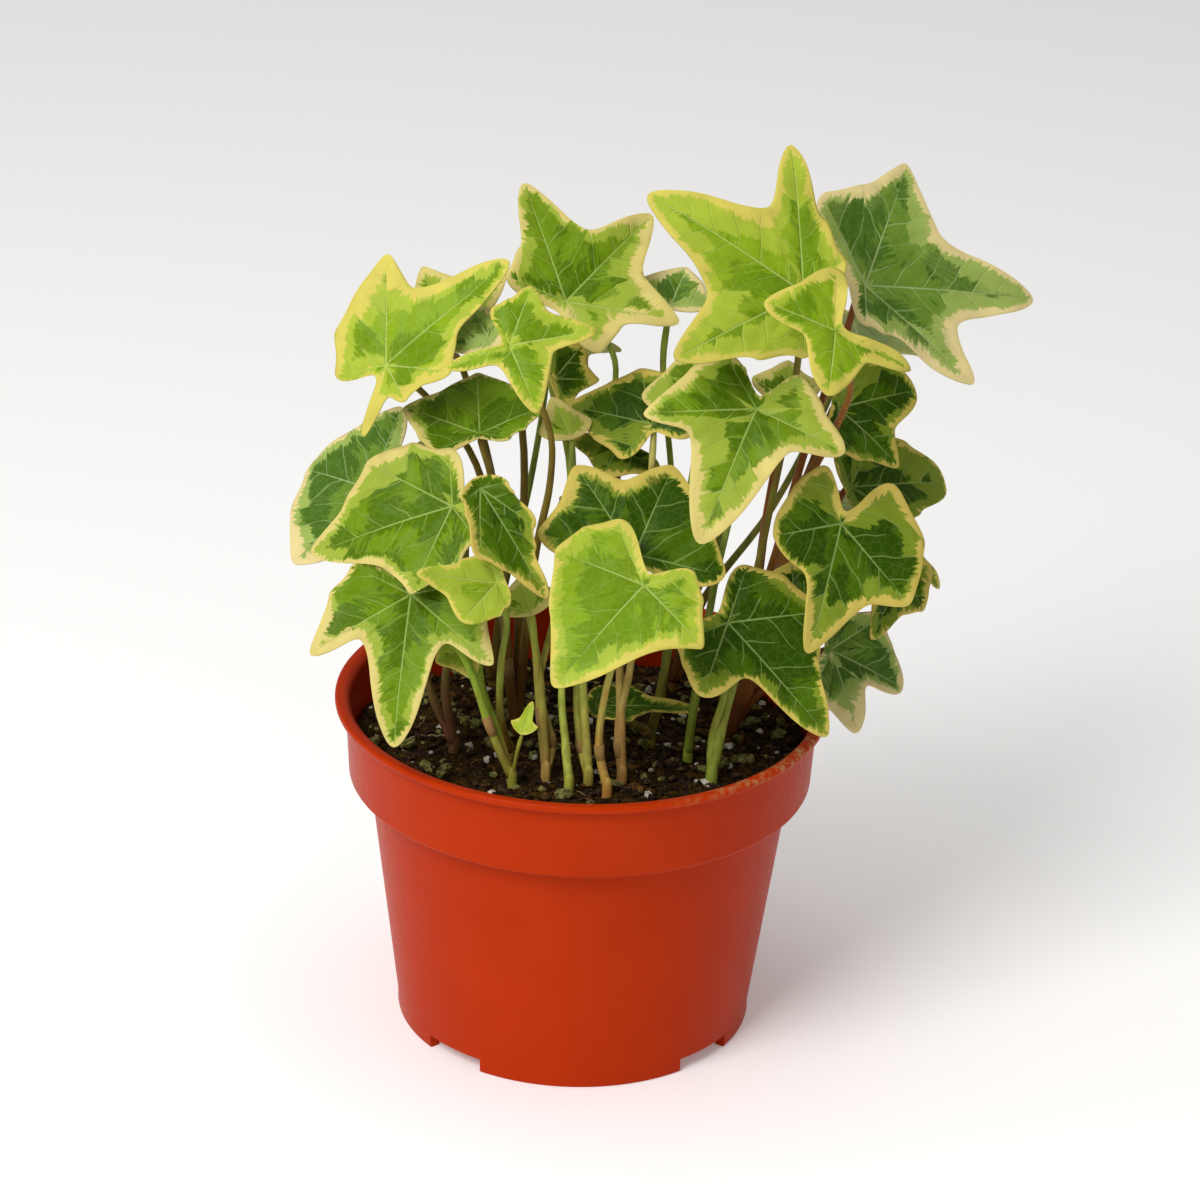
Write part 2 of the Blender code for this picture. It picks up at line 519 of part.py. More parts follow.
def smooth_path(points, parts):
    """Points of a smooth curve through the given ones."""
    ends = [2 * points[0] - points[1]] + points + [2 * points[-1] - points[-2]]
    path = []
    for a, b, c, d in zip(ends, ends[1:], ends[2:], ends[3:]):
        for number in range(parts):
            t = number / parts
            path.append(0.5 * (2 * b + (c - a) * t + (2 * a - 5 * b + 4 * c - d) * t * t
                               + (3 * b - a - 3 * c + d) * t ** 3))
    return path + [points[-1]]


def tube_mesh(name, path, radius):
    """A round stalk along a path, as a closed mesh."""
    curve = bpy.data.curves.new(name, "CURVE")
    curve.dimensions = "3D"
    curve.bevel_depth = radius * MM
    curve.bevel_resolution = 1
    curve.use_fill_caps = True
    line = curve.splines.new("POLY")
    line.points.add(len(path) - 1)
    for point, spot in zip(line.points, path):
        point.co = (*(spot * MM), 1.0)
    guide = bpy.data.objects.new(name, curve)
    CUTTERS.objects.link(guide)
    bpy.context.view_layer.update()
    shaped = guide.evaluated_get(bpy.context.evaluated_depsgraph_get())
    mesh = bpy.data.meshes.new_from_object(shaped)
    bpy.data.objects.remove(guide)
    bm = bmesh.new()
    bm.from_mesh(mesh)
    bmesh.ops.remove_doubles(bm, verts=bm.verts, dist=0.00001)
    bmesh.ops.recalc_face_normals(bm, faces=bm.faces)
    bm.to_mesh(mesh)
    bm.free()
    return mesh


def stalk_end(leaf):
    """Where a stalk stops: just under its leaf, behind the notch."""
    spot, faces, turn, lobes = LEAVES[leaf][:4]
    _, forward, face = leaf_axes(faces, turn)
    middle = radians((lobes[0][0] + lobes[-1][0]) / 2)
    side = forward.cross(face)
    away = -(forward * cos(middle) + side * sin(middle))
    return Vector(spot) - face * STALK_STOP[0] + away * STALK_STOP[1]


def make_stem(name, spot, stalks):
    """A short woody foot in the soil with the stalks of its leaves grown on."""
    look = material(f"{name}_bark", (0.16, 0.12, 0.03), 0.6)
    x, y = spot
    ground = soil_height(x, y)
    foot = [Vector((x, y, ground - SOCKET_DEPTH + GAP)), Vector((x, y, ground + STUMP_RISE))]
    stem = place(name, tube_mesh(name, foot, STUMP_RADIUS), PARTS, look)
    for leaf, way in stalks.items():
        start = Vector((x, y, ground + STUMP_RISE - STALK_SINK))
        path = smooth_path([start] + [Vector(point) for point in way] + [stalk_end(leaf)], 2)
        stalk = place_cutter(f"{leaf}_stalk", tube_mesh(f"{leaf}_stalk", path, PETIOLE_RADIUS))
        boolean(stem, stalk, "UNION")


clear_scene()
PARTS = collection("potted_ivy")
CUTTERS = collection("cutters")
ROOT = bpy.data.objects.new("plant_origin", None)
PARTS.objects.link(ROOT)
ROOT.location = Vector((*POT_AXIS, 0)) * MM

make_pot()
make_soil()
for stem_name, (stem_spot, stem_stalks) in STEMS.items():
    make_stem(stem_name, stem_spot, stem_stalks)
for leaf_name, leaf_design in LEAVES.items():
    make_leaf(leaf_name, *leaf_design)
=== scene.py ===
"""Looks for the potted ivy: variegated ivy leaves on their stalks, peat with perlite, and a
moulded plastic nursery pot, on a pale floor in soft light.

The plant's tables are in millimetres from the pot's axis and base, with the front at -Y, as in
the part's own source. Each finished piece takes the name, the place and the body of its node.
"""
from math import atan2, cos, exp, hypot, pi, radians, sin
from random import Random

import bpy
import bmesh
import numpy as np
from mathutils import Matrix, Quaternion, Vector, noise


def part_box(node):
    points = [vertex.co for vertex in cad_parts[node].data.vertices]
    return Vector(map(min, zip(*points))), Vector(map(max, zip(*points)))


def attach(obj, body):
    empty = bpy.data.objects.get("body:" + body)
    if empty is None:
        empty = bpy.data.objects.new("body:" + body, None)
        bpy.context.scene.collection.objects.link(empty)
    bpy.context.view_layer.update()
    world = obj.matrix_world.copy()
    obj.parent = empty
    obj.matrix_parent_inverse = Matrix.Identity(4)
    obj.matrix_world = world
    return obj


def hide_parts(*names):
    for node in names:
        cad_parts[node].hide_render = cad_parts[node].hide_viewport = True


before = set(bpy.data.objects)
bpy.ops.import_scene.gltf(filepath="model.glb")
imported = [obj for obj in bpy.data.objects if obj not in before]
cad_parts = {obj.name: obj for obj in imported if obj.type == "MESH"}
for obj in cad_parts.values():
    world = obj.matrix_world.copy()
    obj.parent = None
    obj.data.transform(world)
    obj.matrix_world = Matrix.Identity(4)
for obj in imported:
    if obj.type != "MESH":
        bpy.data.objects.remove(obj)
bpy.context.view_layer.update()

MM = 0.001
pot_low, pot_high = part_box("pot")
AXIS = Vector(((pot_low[0] + pot_high[0]) / 2, (pot_low[1] + pot_high[1]) / 2, 0)) / MM

# Pot, mm
POT_HEIGHT = 75.7
LIP_RADIUS = 53.5
LIP_THICK = 1.7
COLLAR_TOP_RADIUS = 51.2
COLLAR_RADIUS = 50.3
COLLAR_Z = 57.6
BODY_TOP_RADIUS = 46.0
BASE_RADIUS = 38.7
WALL = 1.1
FOOT_HEIGHT = 3.2
FOOT_WALL = 1.6
FOOT_GAP_ANGLES = (49, 139, 229, 319)
FOOT_GAP_HALF = 11
DRAIN_RADIUS = 4.0
DRAIN_RING = 25.0
DRAIN_COUNT = 8
POT_STEPS = 180

# Soil, mm: its top falls away towards the back
SOIL_TOP = 67.0
SOIL_SLOPE = 0.12
SOIL_MOUND = 1.6
SOIL_RINGS = 64     # mesh rings and spokes of its top
SOIL_SPOKES = 256
GAP = 0.3
SOCKET_DEPTH = 5.0

# Plant, mm
LEAF_THICK = 0.3
STUMP_RISE = 3.0
POINTED = 42        # half angles of a lobe's tip, degrees
BLUNT = 62
ROUND = 85
BAY_PULL = 0.18     # how far a bay's and a tip's direction carry along the edge between them
TIP_PULL = 0.42
NOTCH_DEPTH = 0.09  # share of the longest lobe
RIM_STEPS = 22      # mesh points along each half lobe
LEAF_RINGS = 16     # and from the stalk to the rim
RIM_SMOOTHING = 5   # rounds of averaging, which take the sharpness off tips and bays
VEIN_SPACING = 6.0  # side veins along a main one, mm
VEIN_LEAN = 0.8     # how far a side vein runs forward for each mm outward
GROOVE_DEPTH = 0.42  # of a main vein
GROOVE_WIDTH = 1.2
QUILT_HEIGHT = 0.16  # of the tissue between side veins
WAVE_SIZE = 13      # of the waves in the blade
RIPPLE_SIZE = 6     # and of the smaller ones along its rim
SECTOR_STEP = 12    # half lobes counted for each leaf, so that no two share a number
GREEN_RISE = 38     # height over the soil at which a stalk has its upper colour
PATH_PARTS = 6      # mesh rings between two points of a stalk

# Each leaf: where its stalk joins it, the compass side and the slope that it faces, the turn
# of its middle lobe from straight downhill, its lobes (angle, length, half angle of the tip)
# and the bays between them (angle, depth), then its fold in degrees and its droop.
LEAVES = {
    "leaf_01": ((-43, -10, 155), (-35, 55), 147, ((-150, 12, BLUNT), (-52, 24, POINTED), (0, 35, POINTED),
        (50, 18, BLUNT), (90, 12, BLUNT), (136, 17, POINTED)), ((-108, 14), (-32, 17), (22, 17), (70, 12),
        (112, 8)), 12, 0.05),
    "leaf_02": ((-6, 4, 165), (11, 46), 134, ((-111, 14, BLUNT), (-59, 29, POINTED), (0, 30, POINTED), (58,
        25, POINTED), (107, 14, BLUNT)), ((-83, 15), (-25, 17), (27, 18), (74, 13)), 6, 0.12),
    "leaf_03": ((-17, -22, 165), (0, 50), 104, ((-98, 9, ROUND), (-59, 14, BLUNT), (0, 19, POINTED), (80,
        16, POINTED), (172, 14, POINTED)), ((-78, 10), (-33, 11), (22, 9), (130, 5)), 4, 0.15),
    "leaf_04": ((-23, -14, 142), (-10, 32), -167, ((-112, 11, ROUND), (-62, 18, BLUNT), (0, 18, POINTED),
        (68, 15, BLUNT), (108, 7, BLUNT)), ((-88, 13), (-33, 14), (36, 14), (90, 10)), 4, 0.1),
    "leaf_05": ((-8, 5, 147), (10, 50), 88, ((-114, 8, BLUNT), (-50, 11, BLUNT), (0, 10, POINTED), (68, 7,
        BLUNT)), ((-82, 8), (-25, 8), (33, 6)), 5, 0.1),
    "leaf_06": ((13, -6, 142), (-10, 35), -160, ((-128, 11, BLUNT), (-63, 19, BLUNT), (0, 15, BLUNT), (70,
        13, BLUNT), (125, 9, BLUNT)), ((-92, 13), (-32, 14), (35, 12), (98, 9)), 5, 0.08),
    "leaf_07": ((34, -20, 152), (0, 48), -21, ((-145, 12, ROUND), (-84, 21, BLUNT), (0, 32, POINTED), (64,
        24, POINTED), (128, 13, ROUND)), ((-112, 14), (-56, 12), (45, 15), (98, 16)), 7, 0.12),
    "leaf_08": ((43, -10, 174), (23, 52), -130, ((-115, 15, BLUNT), (-59, 35, POINTED), (3, 39, POINTED),
        (58, 33, POINTED), (111, 12, BLUNT)), ((-82, 20), (-33, 21), (37, 19), (78, 17)), 8, 0.1),
    "leaf_09": ((49, -28, 173), (25, 48), 58, ((0, 19, POINTED), (81, 15, BLUNT), (180, 16, BLUNT), (254,
        14, ROUND)), ((27, 9), (145, 7), (216, 12)), 6, 0.12),
    "leaf_10": ((57, 14, 167), (25, 48), 80, ((-113, 22, BLUNT), (-67, 31, POINTED), (0, 42, POINTED), (46,
        32, POINTED), (98, 10, BLUNT)), ((-88, 22), (-34, 22), (23, 22), (80, 12)), 9, 0.1),
    "leaf_11": ((52, -1, 145), (35, 50), 36, ((-105, 14, ROUND), (-54, 21, ROUND), (0, 19, POINTED), (62,
        10, BLUNT)), ((-80, 18), (-23, 14), (30, 12)), 6, 0.12),
    "leaf_12": ((56, 6, 124), (40, 48), 80, ((-100, 9, BLUNT), (-50, 17, BLUNT), (0, 28, ROUND), (38, 16,
        BLUNT), (90, 7, BLUNT)), ((-76, 10), (-26, 20), (24, 18), (64, 10)), 6, 0.1),
    "leaf_13": ((53, -18, 126), (30, 62), -27, ((-134, 16, ROUND), (-57, 23, BLUNT), (0, 29, POINTED), (64,
        17, ROUND), (142, 13, ROUND)), ((-93, 20), (-35, 18), (27, 14), (103, 14)), 8, 0.1),
    "leaf_14": ((67, -3, 110), (55, 60), -56, ((-120, 9, BLUNT), (-55, 11, BLUNT), (0, 20, POINTED), (60,
        12, BLUNT), (120, 8, BLUNT)), ((-88, 8), (-26, 11), (26, 13), (90, 8)), 8, 0.1),
    "leaf_15": ((68, 10, 109), (60, 60), 32, ((-70, 6, BLUNT), (0, 16, POINTED), (70, 6, BLUNT)), ((-28, 7),
        (28, 7)), 25, 0.1),
    "leaf_16": ((53, -6, 91), (30, 58), 55, ((-104, 10, BLUNT), (-54, 15, BLUNT), (0, 20, ROUND), (50, 19,
        BLUNT), (96, 13, BLUNT)), ((-80, 10), (-27, 16), (22, 11), (74, 13)), 6, 0.1),
    "leaf_17": ((30, -28, 107), (15, 58), 38, ((-117, 13, ROUND), (-54, 22, POINTED), (0, 33, POINTED), (65,
        17, ROUND), (112, 13, BLUNT)), ((-84, 16), (-26, 21), (29, 12), (89, 14)), 6, 0.1),
    "leaf_18": ((12, -41, 121), (-5, 42), -36, ((-142, 11, ROUND), (-82, 19, POINTED), (0, 29, POINTED),
        (72, 20, BLUNT), (116, 16, ROUND)), ((-112, 13), (-54, 15), (34, 20), (93, 18)), 6, 0.12),
    "leaf_19": ((10, -26, 121), (5, 52), 156, ((-101, 21, BLUNT), (-56, 23, BLUNT), (0, 22, BLUNT), (80, 20,
        BLUNT)), ((-79, 19), (-30, 16), (40, 17)), 5, 0.1),
    "leaf_20": ((-22, -31, 137), (20, 58), 25, ((-70, 6, BLUNT), (-24, 14, BLUNT), (0, 27, POINTED), (40,
        16, BLUNT), (86, 6, BLUNT)), ((-50, 7), (-11, 17), (19, 18), (64, 8)), 22, 0.06),
    "leaf_21": ((-18, -38, 119), (30, 45), -108, ((-110, 6, BLUNT), (-50, 13, ROUND), (0, 18, POINTED), (70,
        7, BLUNT)), ((-90, 8), (-24, 12), (24, 9)), 10, 0.06),
    "leaf_22": ((-28, -27, 131), (-20, 50), -63, ((-112, 10, BLUNT), (-54, 21, POINTED), (0, 33, POINTED),
        (43, 22, BLUNT), (100, 13, BLUNT)), ((-83, 14), (-28, 19), (20, 24), (70, 17)), 7, 0.12),
    "leaf_23": ((-46, -8, 126), (-40, 45), -88, ((-123, 18, BLUNT), (-68, 23, BLUNT), (0, 20, BLUNT), (82,
        20, BLUNT)), ((-94, 17), (-33, 19), (40, 16)), 6, 0.1),
    "leaf_24": ((-36, -32, 113), (-8, 52), 0, ((-104, 14, BLUNT), (-55, 24, POINTED), (0, 33, POINTED), (53,
        25, POINTED), (109, 14, BLUNT)), ((-80, 17), (-40, 13), (40, 14), (83, 17)), 7, 0.1),
    "leaf_25": ((-23, -27, 100), (-10, 50), -55, ((-60, 8, BLUNT), (0, 9, BLUNT), (60, 8, BLUNT)), ((-30,
        7), (30, 7)), 5, 0.1),
    "leaf_26": ((-21, -10, 160), (-10, 50), -147, ((-60, 10, BLUNT), (0, 11, POINTED), (60, 7, BLUNT)),
        ((-30, 9), (30, 8)), 6, 0.1),
    "leaf_27": ((-12, -38, 85), (0, 60), 164, ((-63, 3.5, POINTED), (0, 7, POINTED), (55, 3.5, POINTED)),
        ((-34, 3), (30, 3)), 8, 0.1),
    "leaf_28": ((3, -18, 82), (0, 15), 93, ((-80, 6, BLUNT), (-32, 10, BLUNT), (0, 23, POINTED), (40, 10,
        BLUNT), (80, 6, BLUNT)), ((-54, 7), (-16, 11), (18, 11), (60, 7)), 8, 0.05),
    "leaf_29": ((16, 16, 160), (5, 45), 157, ((-70, 9, BLUNT), (0, 10, BLUNT), (60, 9, BLUNT)), ((-33, 8),
        (30, 9)), 6, 0.1),
    "leaf_30": ((-31, 0, 156), (-20, 50), -148, ((-80, 8, BLUNT), (0, 20, POINTED), (55, 22, POINTED)),
        ((-30, 11), (30, 15)), 6, 0.1),
    "leaf_31": ((24, -6, 147), (0, 50), -162, ((-67, 14, BLUNT), (0, 13, BLUNT), (62, 12, BLUNT)), ((-36,
        11), (30, 11)), 6, 0.1),
    "leaf_32": ((6, 0, 134), (0, 40), -25, ((-82, 11, BLUNT), (0, 8, BLUNT), (70, 10, BLUNT)), ((-44, 7),
        (37, 7)), 6, 0.1),
    "leaf_33": ((41, 2, 145), (10, 45), 169, ((-60, 9, BLUNT), (0, 10, BLUNT), (55, 9, BLUNT)), ((-30, 8),
        (28, 8)), 6, 0.1),
    "leaf_34": ((44, -21, 109), (10, 50), 180, ((-60, 8, BLUNT), (0, 9, BLUNT), (55, 8, BLUNT)), ((-30, 8),
        (28, 8)), 6, 0.1),
    "leaf_35": ((-11, -28, 108), (0, 50), -157, ((-60, 9, BLUNT), (0, 8, BLUNT), (68, 7, BLUNT)), ((-33, 7),
        (34, 6)), 6, 0.1),
    "leaf_36": ((-4, -9, 140), (0, 45), -154, ((-60, 7, BLUNT), (0, 10, BLUNT), (70, 6, BLUNT)), ((-30, 7),
        (34, 6)), 6, 0.1),
    "leaf_37": ((-43, 14, 124), (-140, 50), 10, ((-108, 11, BLUNT), (-56, 19, POINTED), (0, 24, POINTED),
        (56, 18, POINTED), (108, 11, BLUNT)), ((-82, 12), (-28, 13), (28, 13), (82, 12)), 8, 0.12),
    "leaf_38": ((4, 26, 108), (170, 48), -8, ((-110, 11, BLUNT), (-58, 18, POINTED), (0, 25, POINTED), (54,
        18, POINTED), (106, 11, BLUNT)), ((-84, 12), (-29, 13), (27, 13), (80, 12)), 8, 0.12),
    "leaf_39": ((54, 28, 112), (140, 50), 6, ((-106, 10, BLUNT), (-54, 17, POINTED), (0, 23, POINTED), (58,
        18, POINTED), (110, 10, BLUNT)), ((-80, 11), (-27, 12), (29, 13), (84, 12)), 8, 0.12),
    "leaf_40": ((36, 24, 134), (172, 50), 12, ((-108, 10, BLUNT), (-56, 17, POINTED), (0, 22, POINTED), (56,
        17, POINTED), (108, 10, BLUNT)), ((-82, 11), (-28, 12), (28, 12), (82, 11)), 8, 0.12),
    "leaf_41": ((-10, 26, 149), (165, 45), -14, ((-108, 10, BLUNT), (-56, 17, POINTED), (0, 22, POINTED),
        (56, 17, POINTED), (108, 10, BLUNT)), ((-82, 11), (-28, 12), (28, 12), (82, 11)), 8, 0.12),
    "leaf_42": ((56, 34, 152), (150, 46), 8, ((-108, 11, BLUNT), (-56, 19, POINTED), (0, 25, POINTED), (56,
        19, POINTED), (108, 11, BLUNT)), ((-82, 12), (-28, 14), (28, 14), (82, 12)), 8, 0.12),
}

# Each stem: the spot on the soil where it rises, and its stalks, as the leaf that each one
# carries and the points that it passes on the way.
STEMS = {
    "stem_front_left": ((-14, -36), {
        "leaf_24": ((-19, -34, 84), (-24, -33, 98), (-31, -31, 107)),
        "leaf_25": ((-18, -31, 83), (-21, -28, 91)),
        "leaf_27": ((-13, -37, 80),)}),
    "stem_left_curl": ((-15, -22), {
        "leaf_21": ((-17, -27, 83), (-17, -31, 97), (-16, -31, 107))}),
    "stem_left": ((-27, -18), {
        "leaf_23": ((-32, -15, 82), (-38, -11, 102), (-43, -7, 114)),
        "leaf_22": ((-29, -19, 87), (-26, -22, 107), (-25, -23, 120))}),
    "stem_middle_back": ((-14, -8), {
        "leaf_01": ((-16, -5, 84), (-18, -2, 104), (-24, 2, 128), (-35, 3, 143)),
        "leaf_04": ((-16, -9, 86), (-17, -10, 101), (-20, -12, 129)),
        "leaf_03": ((-13, -7, 84), (-11, -9, 111), (-8, -12, 131), (-9, -16, 146)),
        "leaf_26": ((-14, -1, 95), (-14, 5, 130), (-18, 1, 153)),
        "leaf_30": ((-17, 0, 90), (-20, 6, 120), (-27, 8, 146))}),
    "stem_thin_front": ((-7, -32), {
        "leaf_05": ((-6, -28, 78), (-9, -25, 90), (-6, -17, 104), (-4, -2, 128)),
        "leaf_20": ((-9, -26, 92), (-13, -20, 110), (-19, -22, 126)),
        "leaf_35": ((-9, -27, 88), (-10, -26, 98))}),
    "stem_front_a": ((-2, -38), {
        "leaf_19": ((-3, -33, 80), (-4, -29, 93), (1, -25, 108))}),
    "stem_front_b": ((2, -34), {
        "leaf_02": ((0, -29, 79), (-1, -24, 90), (0, -10, 112), (4, 6, 138), (4, 9, 152)),
        "leaf_36": ((0, -24, 92), (-1, -16, 110), (-3, -8, 126))}),
    "stem_front_c": ((6, -40), {
        "leaf_18": ((4, -37, 82), (5, -38, 95), (8, -39, 108))}),
    "stem_front_d": ((9, -33), {
        "leaf_06": ((8, -29, 83), (10, -26, 95), (12, -17, 116), (13, -10, 132)),
        "leaf_32": ((8, -26, 90), (7, -16, 108), (6, -6, 124))}),
    "stem_middle": ((15, -11), {
        "leaf_28": ((12, -15, 76),),
        "leaf_29": ((17, -9, 82), (18, -4, 95), (18, 6, 120), (15, 12, 146)),
        "leaf_31": ((18, -8, 90), (20, -4, 112), (22, -4, 132))}),
    "stem_right_thin": ((23, -19), {
        "leaf_07": ((24, -20, 85), (27, -19, 111), (29, -17, 122), (32, -18, 140))}),
    "stem_right_front": ((28, -29), {
        "leaf_17": ((28, -26, 80), (30, -25, 90)),
        "leaf_08": ((31, -22, 88), (35, -15, 107), (38, -11, 124), (42, -7, 150)),
        "leaf_34": ((32, -18, 88), (38, -12, 98))}),
    "stem_right": ((31, -7), {
        "leaf_09": ((36, -9, 85), (40, -10, 105), (45, -8, 128), (49, -9, 139), (52, -14, 149),
                    (53, -20, 158)),
        "leaf_13": ((36, -9, 86), (44, -9, 104), (50, -12, 117)),
        "leaf_11": ((35, -6, 86), (40, -5, 112), (47, -4, 134)),
        "leaf_16": ((37, -7, 80), (45, -6, 87))}),
    "stem_right_back": ((33, 8), {
        "leaf_10": ((36, 6, 84), (40, 5, 105), (46, 8, 132), (53, 13, 155)),
        "leaf_12": ((38, 6, 84), (44, 5, 104), (51, 6, 116)),
        "leaf_14": ((40, 6, 80), (50, 3, 93), (61, 0, 103)),
        "leaf_15": ((42, 9, 80), (53, 9, 92), (62, 10, 102)),
        "leaf_33": ((36, 5, 90), (38, 5, 115), (40, 4, 134))}),
    "stem_back_left": ((-20, 24), {
        "leaf_37": ((-24, 22, 80), (-31, 18, 100), (-38, 15, 114)),
        "leaf_41": ((-18, 22, 90), (-13, 21, 115), (-10, 23, 138))}),
    "stem_back_right": ((20, 27), {
        "leaf_38": ((17, 26, 80), (11, 24, 95)),
        "leaf_40": ((23, 24, 85), (29, 21, 105), (34, 21, 124)),
        "leaf_39": ((28, 26, 80), (42, 26, 95), (53, 26, 105)),
        "leaf_42": ((26, 24, 88), (40, 21, 112), (52, 26, 138))}),
}

# Each leaf's colouring: its age, then the width in mm of its cream edge and of the pale green
# inside it, either one number or a number for the notch, then tip and bay in turn.
COLOURING = {
    "leaf_01": ("lime", (1, 1.2, 3.5, 4.5, 3, 1.2, 1, 3.5, 2, 2.5, 1, 4), (3, 4, 6, 6, 4, 2, 2, 5, 4, 4, 3,
        3)),
    "leaf_02": ("mid", (1, 2, 1.2, 1, 0.5, 2.5, 3.5, 4, 3, 3), (2, 2, 3, 2, 2, 4, 6, 7, 5, 5)),
    "leaf_03": ("lime", (0.5, 0.6, 0.5, 0.8, 0.6, 1, 1.2, 1, 0.6, 0.6), (1, 1, 1, 2, 3, 3, 3, 2, 1, 1)),
    "leaf_04": ("mid", (0.5, 1.2, 1.5, 1.5, 0.5, 0.5, 0.5, 0.6, 0.6, 0.5), (0, 1, 2, 2, 0, 0, 0, 1, 1, 0)),
    "leaf_05": ("dark", 1.0, 2),
    "leaf_06": ("dark", (1, 1, 2, 1.5, 1.5, 2, 1.5, 1, 1, 1), (1, 2, 4, 3, 2, 3, 2, 1, 1, 1)),
    "leaf_07": ("mid", (0.6, 0.8, 2.5, 2, 2.5, 4, 1.5, 1, 2.5, 0.6), (1, 3, 7, 5, 3, 5, 6, 2, 4, 1)),
    "leaf_08": ("lime", (1.5, 1.5, 2, 1.5, 3, 1, 4.5, 1.2, 2.5, 2), (3, 4, 6, 6, 8, 5, 8, 4, 4, 3)),
    "leaf_09": ("lime", (0.8, 2.5, 1.2, 2.5, 0.8, 1.2, 1.2, 3), (1, 2, 1, 2, 1, 2, 1, 3)),
    "leaf_10": ("grey", (2, 2, 3, 1.5, 3, 0.7, 4, 3.5, 1.2, 1.8), (4, 5, 5, 3, 6, 6, 5, 5, 3, 3)),
    "leaf_11": ("dark", (0.4, 1.2, 2.2, 0.8, 1.4, 0.6, 0.7, 0.5), (1, 5, 6, 2, 4, 1, 2, 1)),
    "leaf_12": ("dark", (0.3, 0.3, 0.4, 1, 1.4, 0.4, 0.4, 0.8, 0.4, 0.3), (2, 2, 3, 4, 5, 6, 4, 3, 2, 2)),
    "leaf_13": ("dark", (1, 2.4, 2, 2.2, 2, 2.8, 0.8, 1, 1.8, 2.4), (2, 5, 4, 4, 3, 4, 2, 2, 4, 5)),
    "leaf_14": ("dark", 1.0, 2), "leaf_15": ("dark", 0.8, 2),
    "leaf_16": ("grey", (0.6, 0.8, 0.8, 0.8, 0.8, 1, 2, 3.5, 3, 1.5), (1, 1, 2, 2, 2, 2, 3, 5, 4, 3)),
    "leaf_17": ("dark", (0.8, 0.8, 2, 1, 0.8, 0.8, 1.2, 1.5, 2, 1), (1, 1, 3, 2, 1, 2, 2, 4, 3, 2)),
    "leaf_18": ("lime", (0.5, 0.8, 1.5, 1.5, 2.5, 1.5, 1, 1.2, 1.2, 1.5), (1, 2, 3, 3, 4, 3, 2, 3, 3, 3)),
    "leaf_19": ("dark", (0.8, 1.5, 2.5, 3, 2.5, 2.5, 0.8, 0.8), (1, 2, 3, 3, 3, 2, 1, 1)),
    "leaf_20": ("dark", (0.5, 0.6, 0.8, 1, 1, 1.5, 1, 1.5, 1, 0.6), (0, 1, 1, 2, 2, 2, 1, 2, 1, 1)),
    "leaf_21": ("lime", (0.5, 0.6, 0.6, 0.8, 0.6, 0.6, 0.8, 0.6), 8),
    "leaf_22": ("mid", (1, 0.8, 0.8, 1, 1.5, 1.2, 2, 2.5, 1.5, 1.5), (2, 1, 1, 2, 3, 2, 3, 5, 4, 2)),
    "leaf_23": ("grey", (1, 2.5, 3, 3.5, 1.5, 1.2, 0.8, 0.8), (2, 4, 4, 5, 3, 2, 2, 2)),
    "leaf_24": ("mid", (0.6, 0.8, 1, 1.5, 1.5, 1.2, 2, 2.5, 0.8, 0.8), (1, 2, 2, 3, 2, 2, 3, 3, 1, 1)),
    "leaf_25": ("lime", 0.8, 4), "leaf_26": ("grey", 1.2, 4), "leaf_27": ("lime", 0.3, 4),
    "leaf_28": ("dark", 0.5, 0.5), "leaf_29": ("grey", 1.2, 3), "leaf_30": ("mid", 1.4, 3),
    "leaf_31": ("mid", 1.4, 3), "leaf_32": ("dark", 1.0, 2), "leaf_33": ("mid", 1.2, 3),
    "leaf_34": ("dark", 1.0, 2), "leaf_35": ("mid", 1.0, 3), "leaf_36": ("mid", 1.0, 3),
    "leaf_37": ("mid", 1.8, 4), "leaf_38": ("dark", 1.5, 3), "leaf_39": ("mid", 1.8, 4),
    "leaf_40": ("mid", 1.7, 4), "leaf_41": ("lime", 1.9, 5), "leaf_42": ("mid", 1.9, 4),
}

# Greens of each age: deep, middle, pale, cream edge and veins, and how strong its side veins are.
AGES = {
    "lime": ("66860C", "7E9C18", "9EB034", "C8BC56", "B4C868", 0.2),
    "mid": ("4C6A02", "66840C", "94A636", "CEBE70", "A4BA5C", 0.3),
    "dark": ("2E4A00", "446202", "7A8C26", "CAB658", "8EA658", 0.42),
    "grey": ("46661C", "64822A", "94A852", "D8C68A", "A0B474", 0.42),
}

# Each stem's colour at the soil and at its leaves.
STALK_COLOURS = {
    "stem_front_left": ("8A7A32", "7FA02C"), "stem_left_curl": ("93692F", "8C9A3A"),
    "stem_left": ("7A4A36", "6E6A2C"), "stem_middle_back": ("6A3A1C", "7C6A24"),
    "stem_thin_front": ("B08A4C", "98A23C"), "stem_front_a": ("9A9A3C", "A0B04A"),
    "stem_front_b": ("A08C3E", "9AA846"), "stem_front_c": ("A8642C", "A8A850"),
    "stem_front_d": ("B07A44", "A9A455"), "stem_middle": ("7A6A2C", "8C9A3A"),
    "stem_right_thin": ("7C8A2E", "86963A"), "stem_right_front": ("8EA63A", "8C7A34"),
    "stem_right": ("6A3A18", "8A5A24"), "stem_right_back": ("7A3A18", "8A5226"),
    "stem_back_left": ("7A5A2C", "7C8A34"), "stem_back_right": ("7A4A24", "7C8034"),
}


# Radius at the soil of the stems that are stouter than the rest, mm.
FOOT_RADII = {"stem_right": 1.7, "stem_right_back": 1.6, "stem_middle_back": 1.35, "stem_right_front": 1.3}


# ---- helpers ----

def to_linear(code):
    """A linear colour from an sRGB hex value."""
    parts = [int(code[i:i + 2], 16) / 255 for i in (0, 2, 4)]
    return (*(c / 12.92 if c <= 0.04045 else ((c + 0.055) / 1.055) ** 2.4 for c in parts), 1.0)


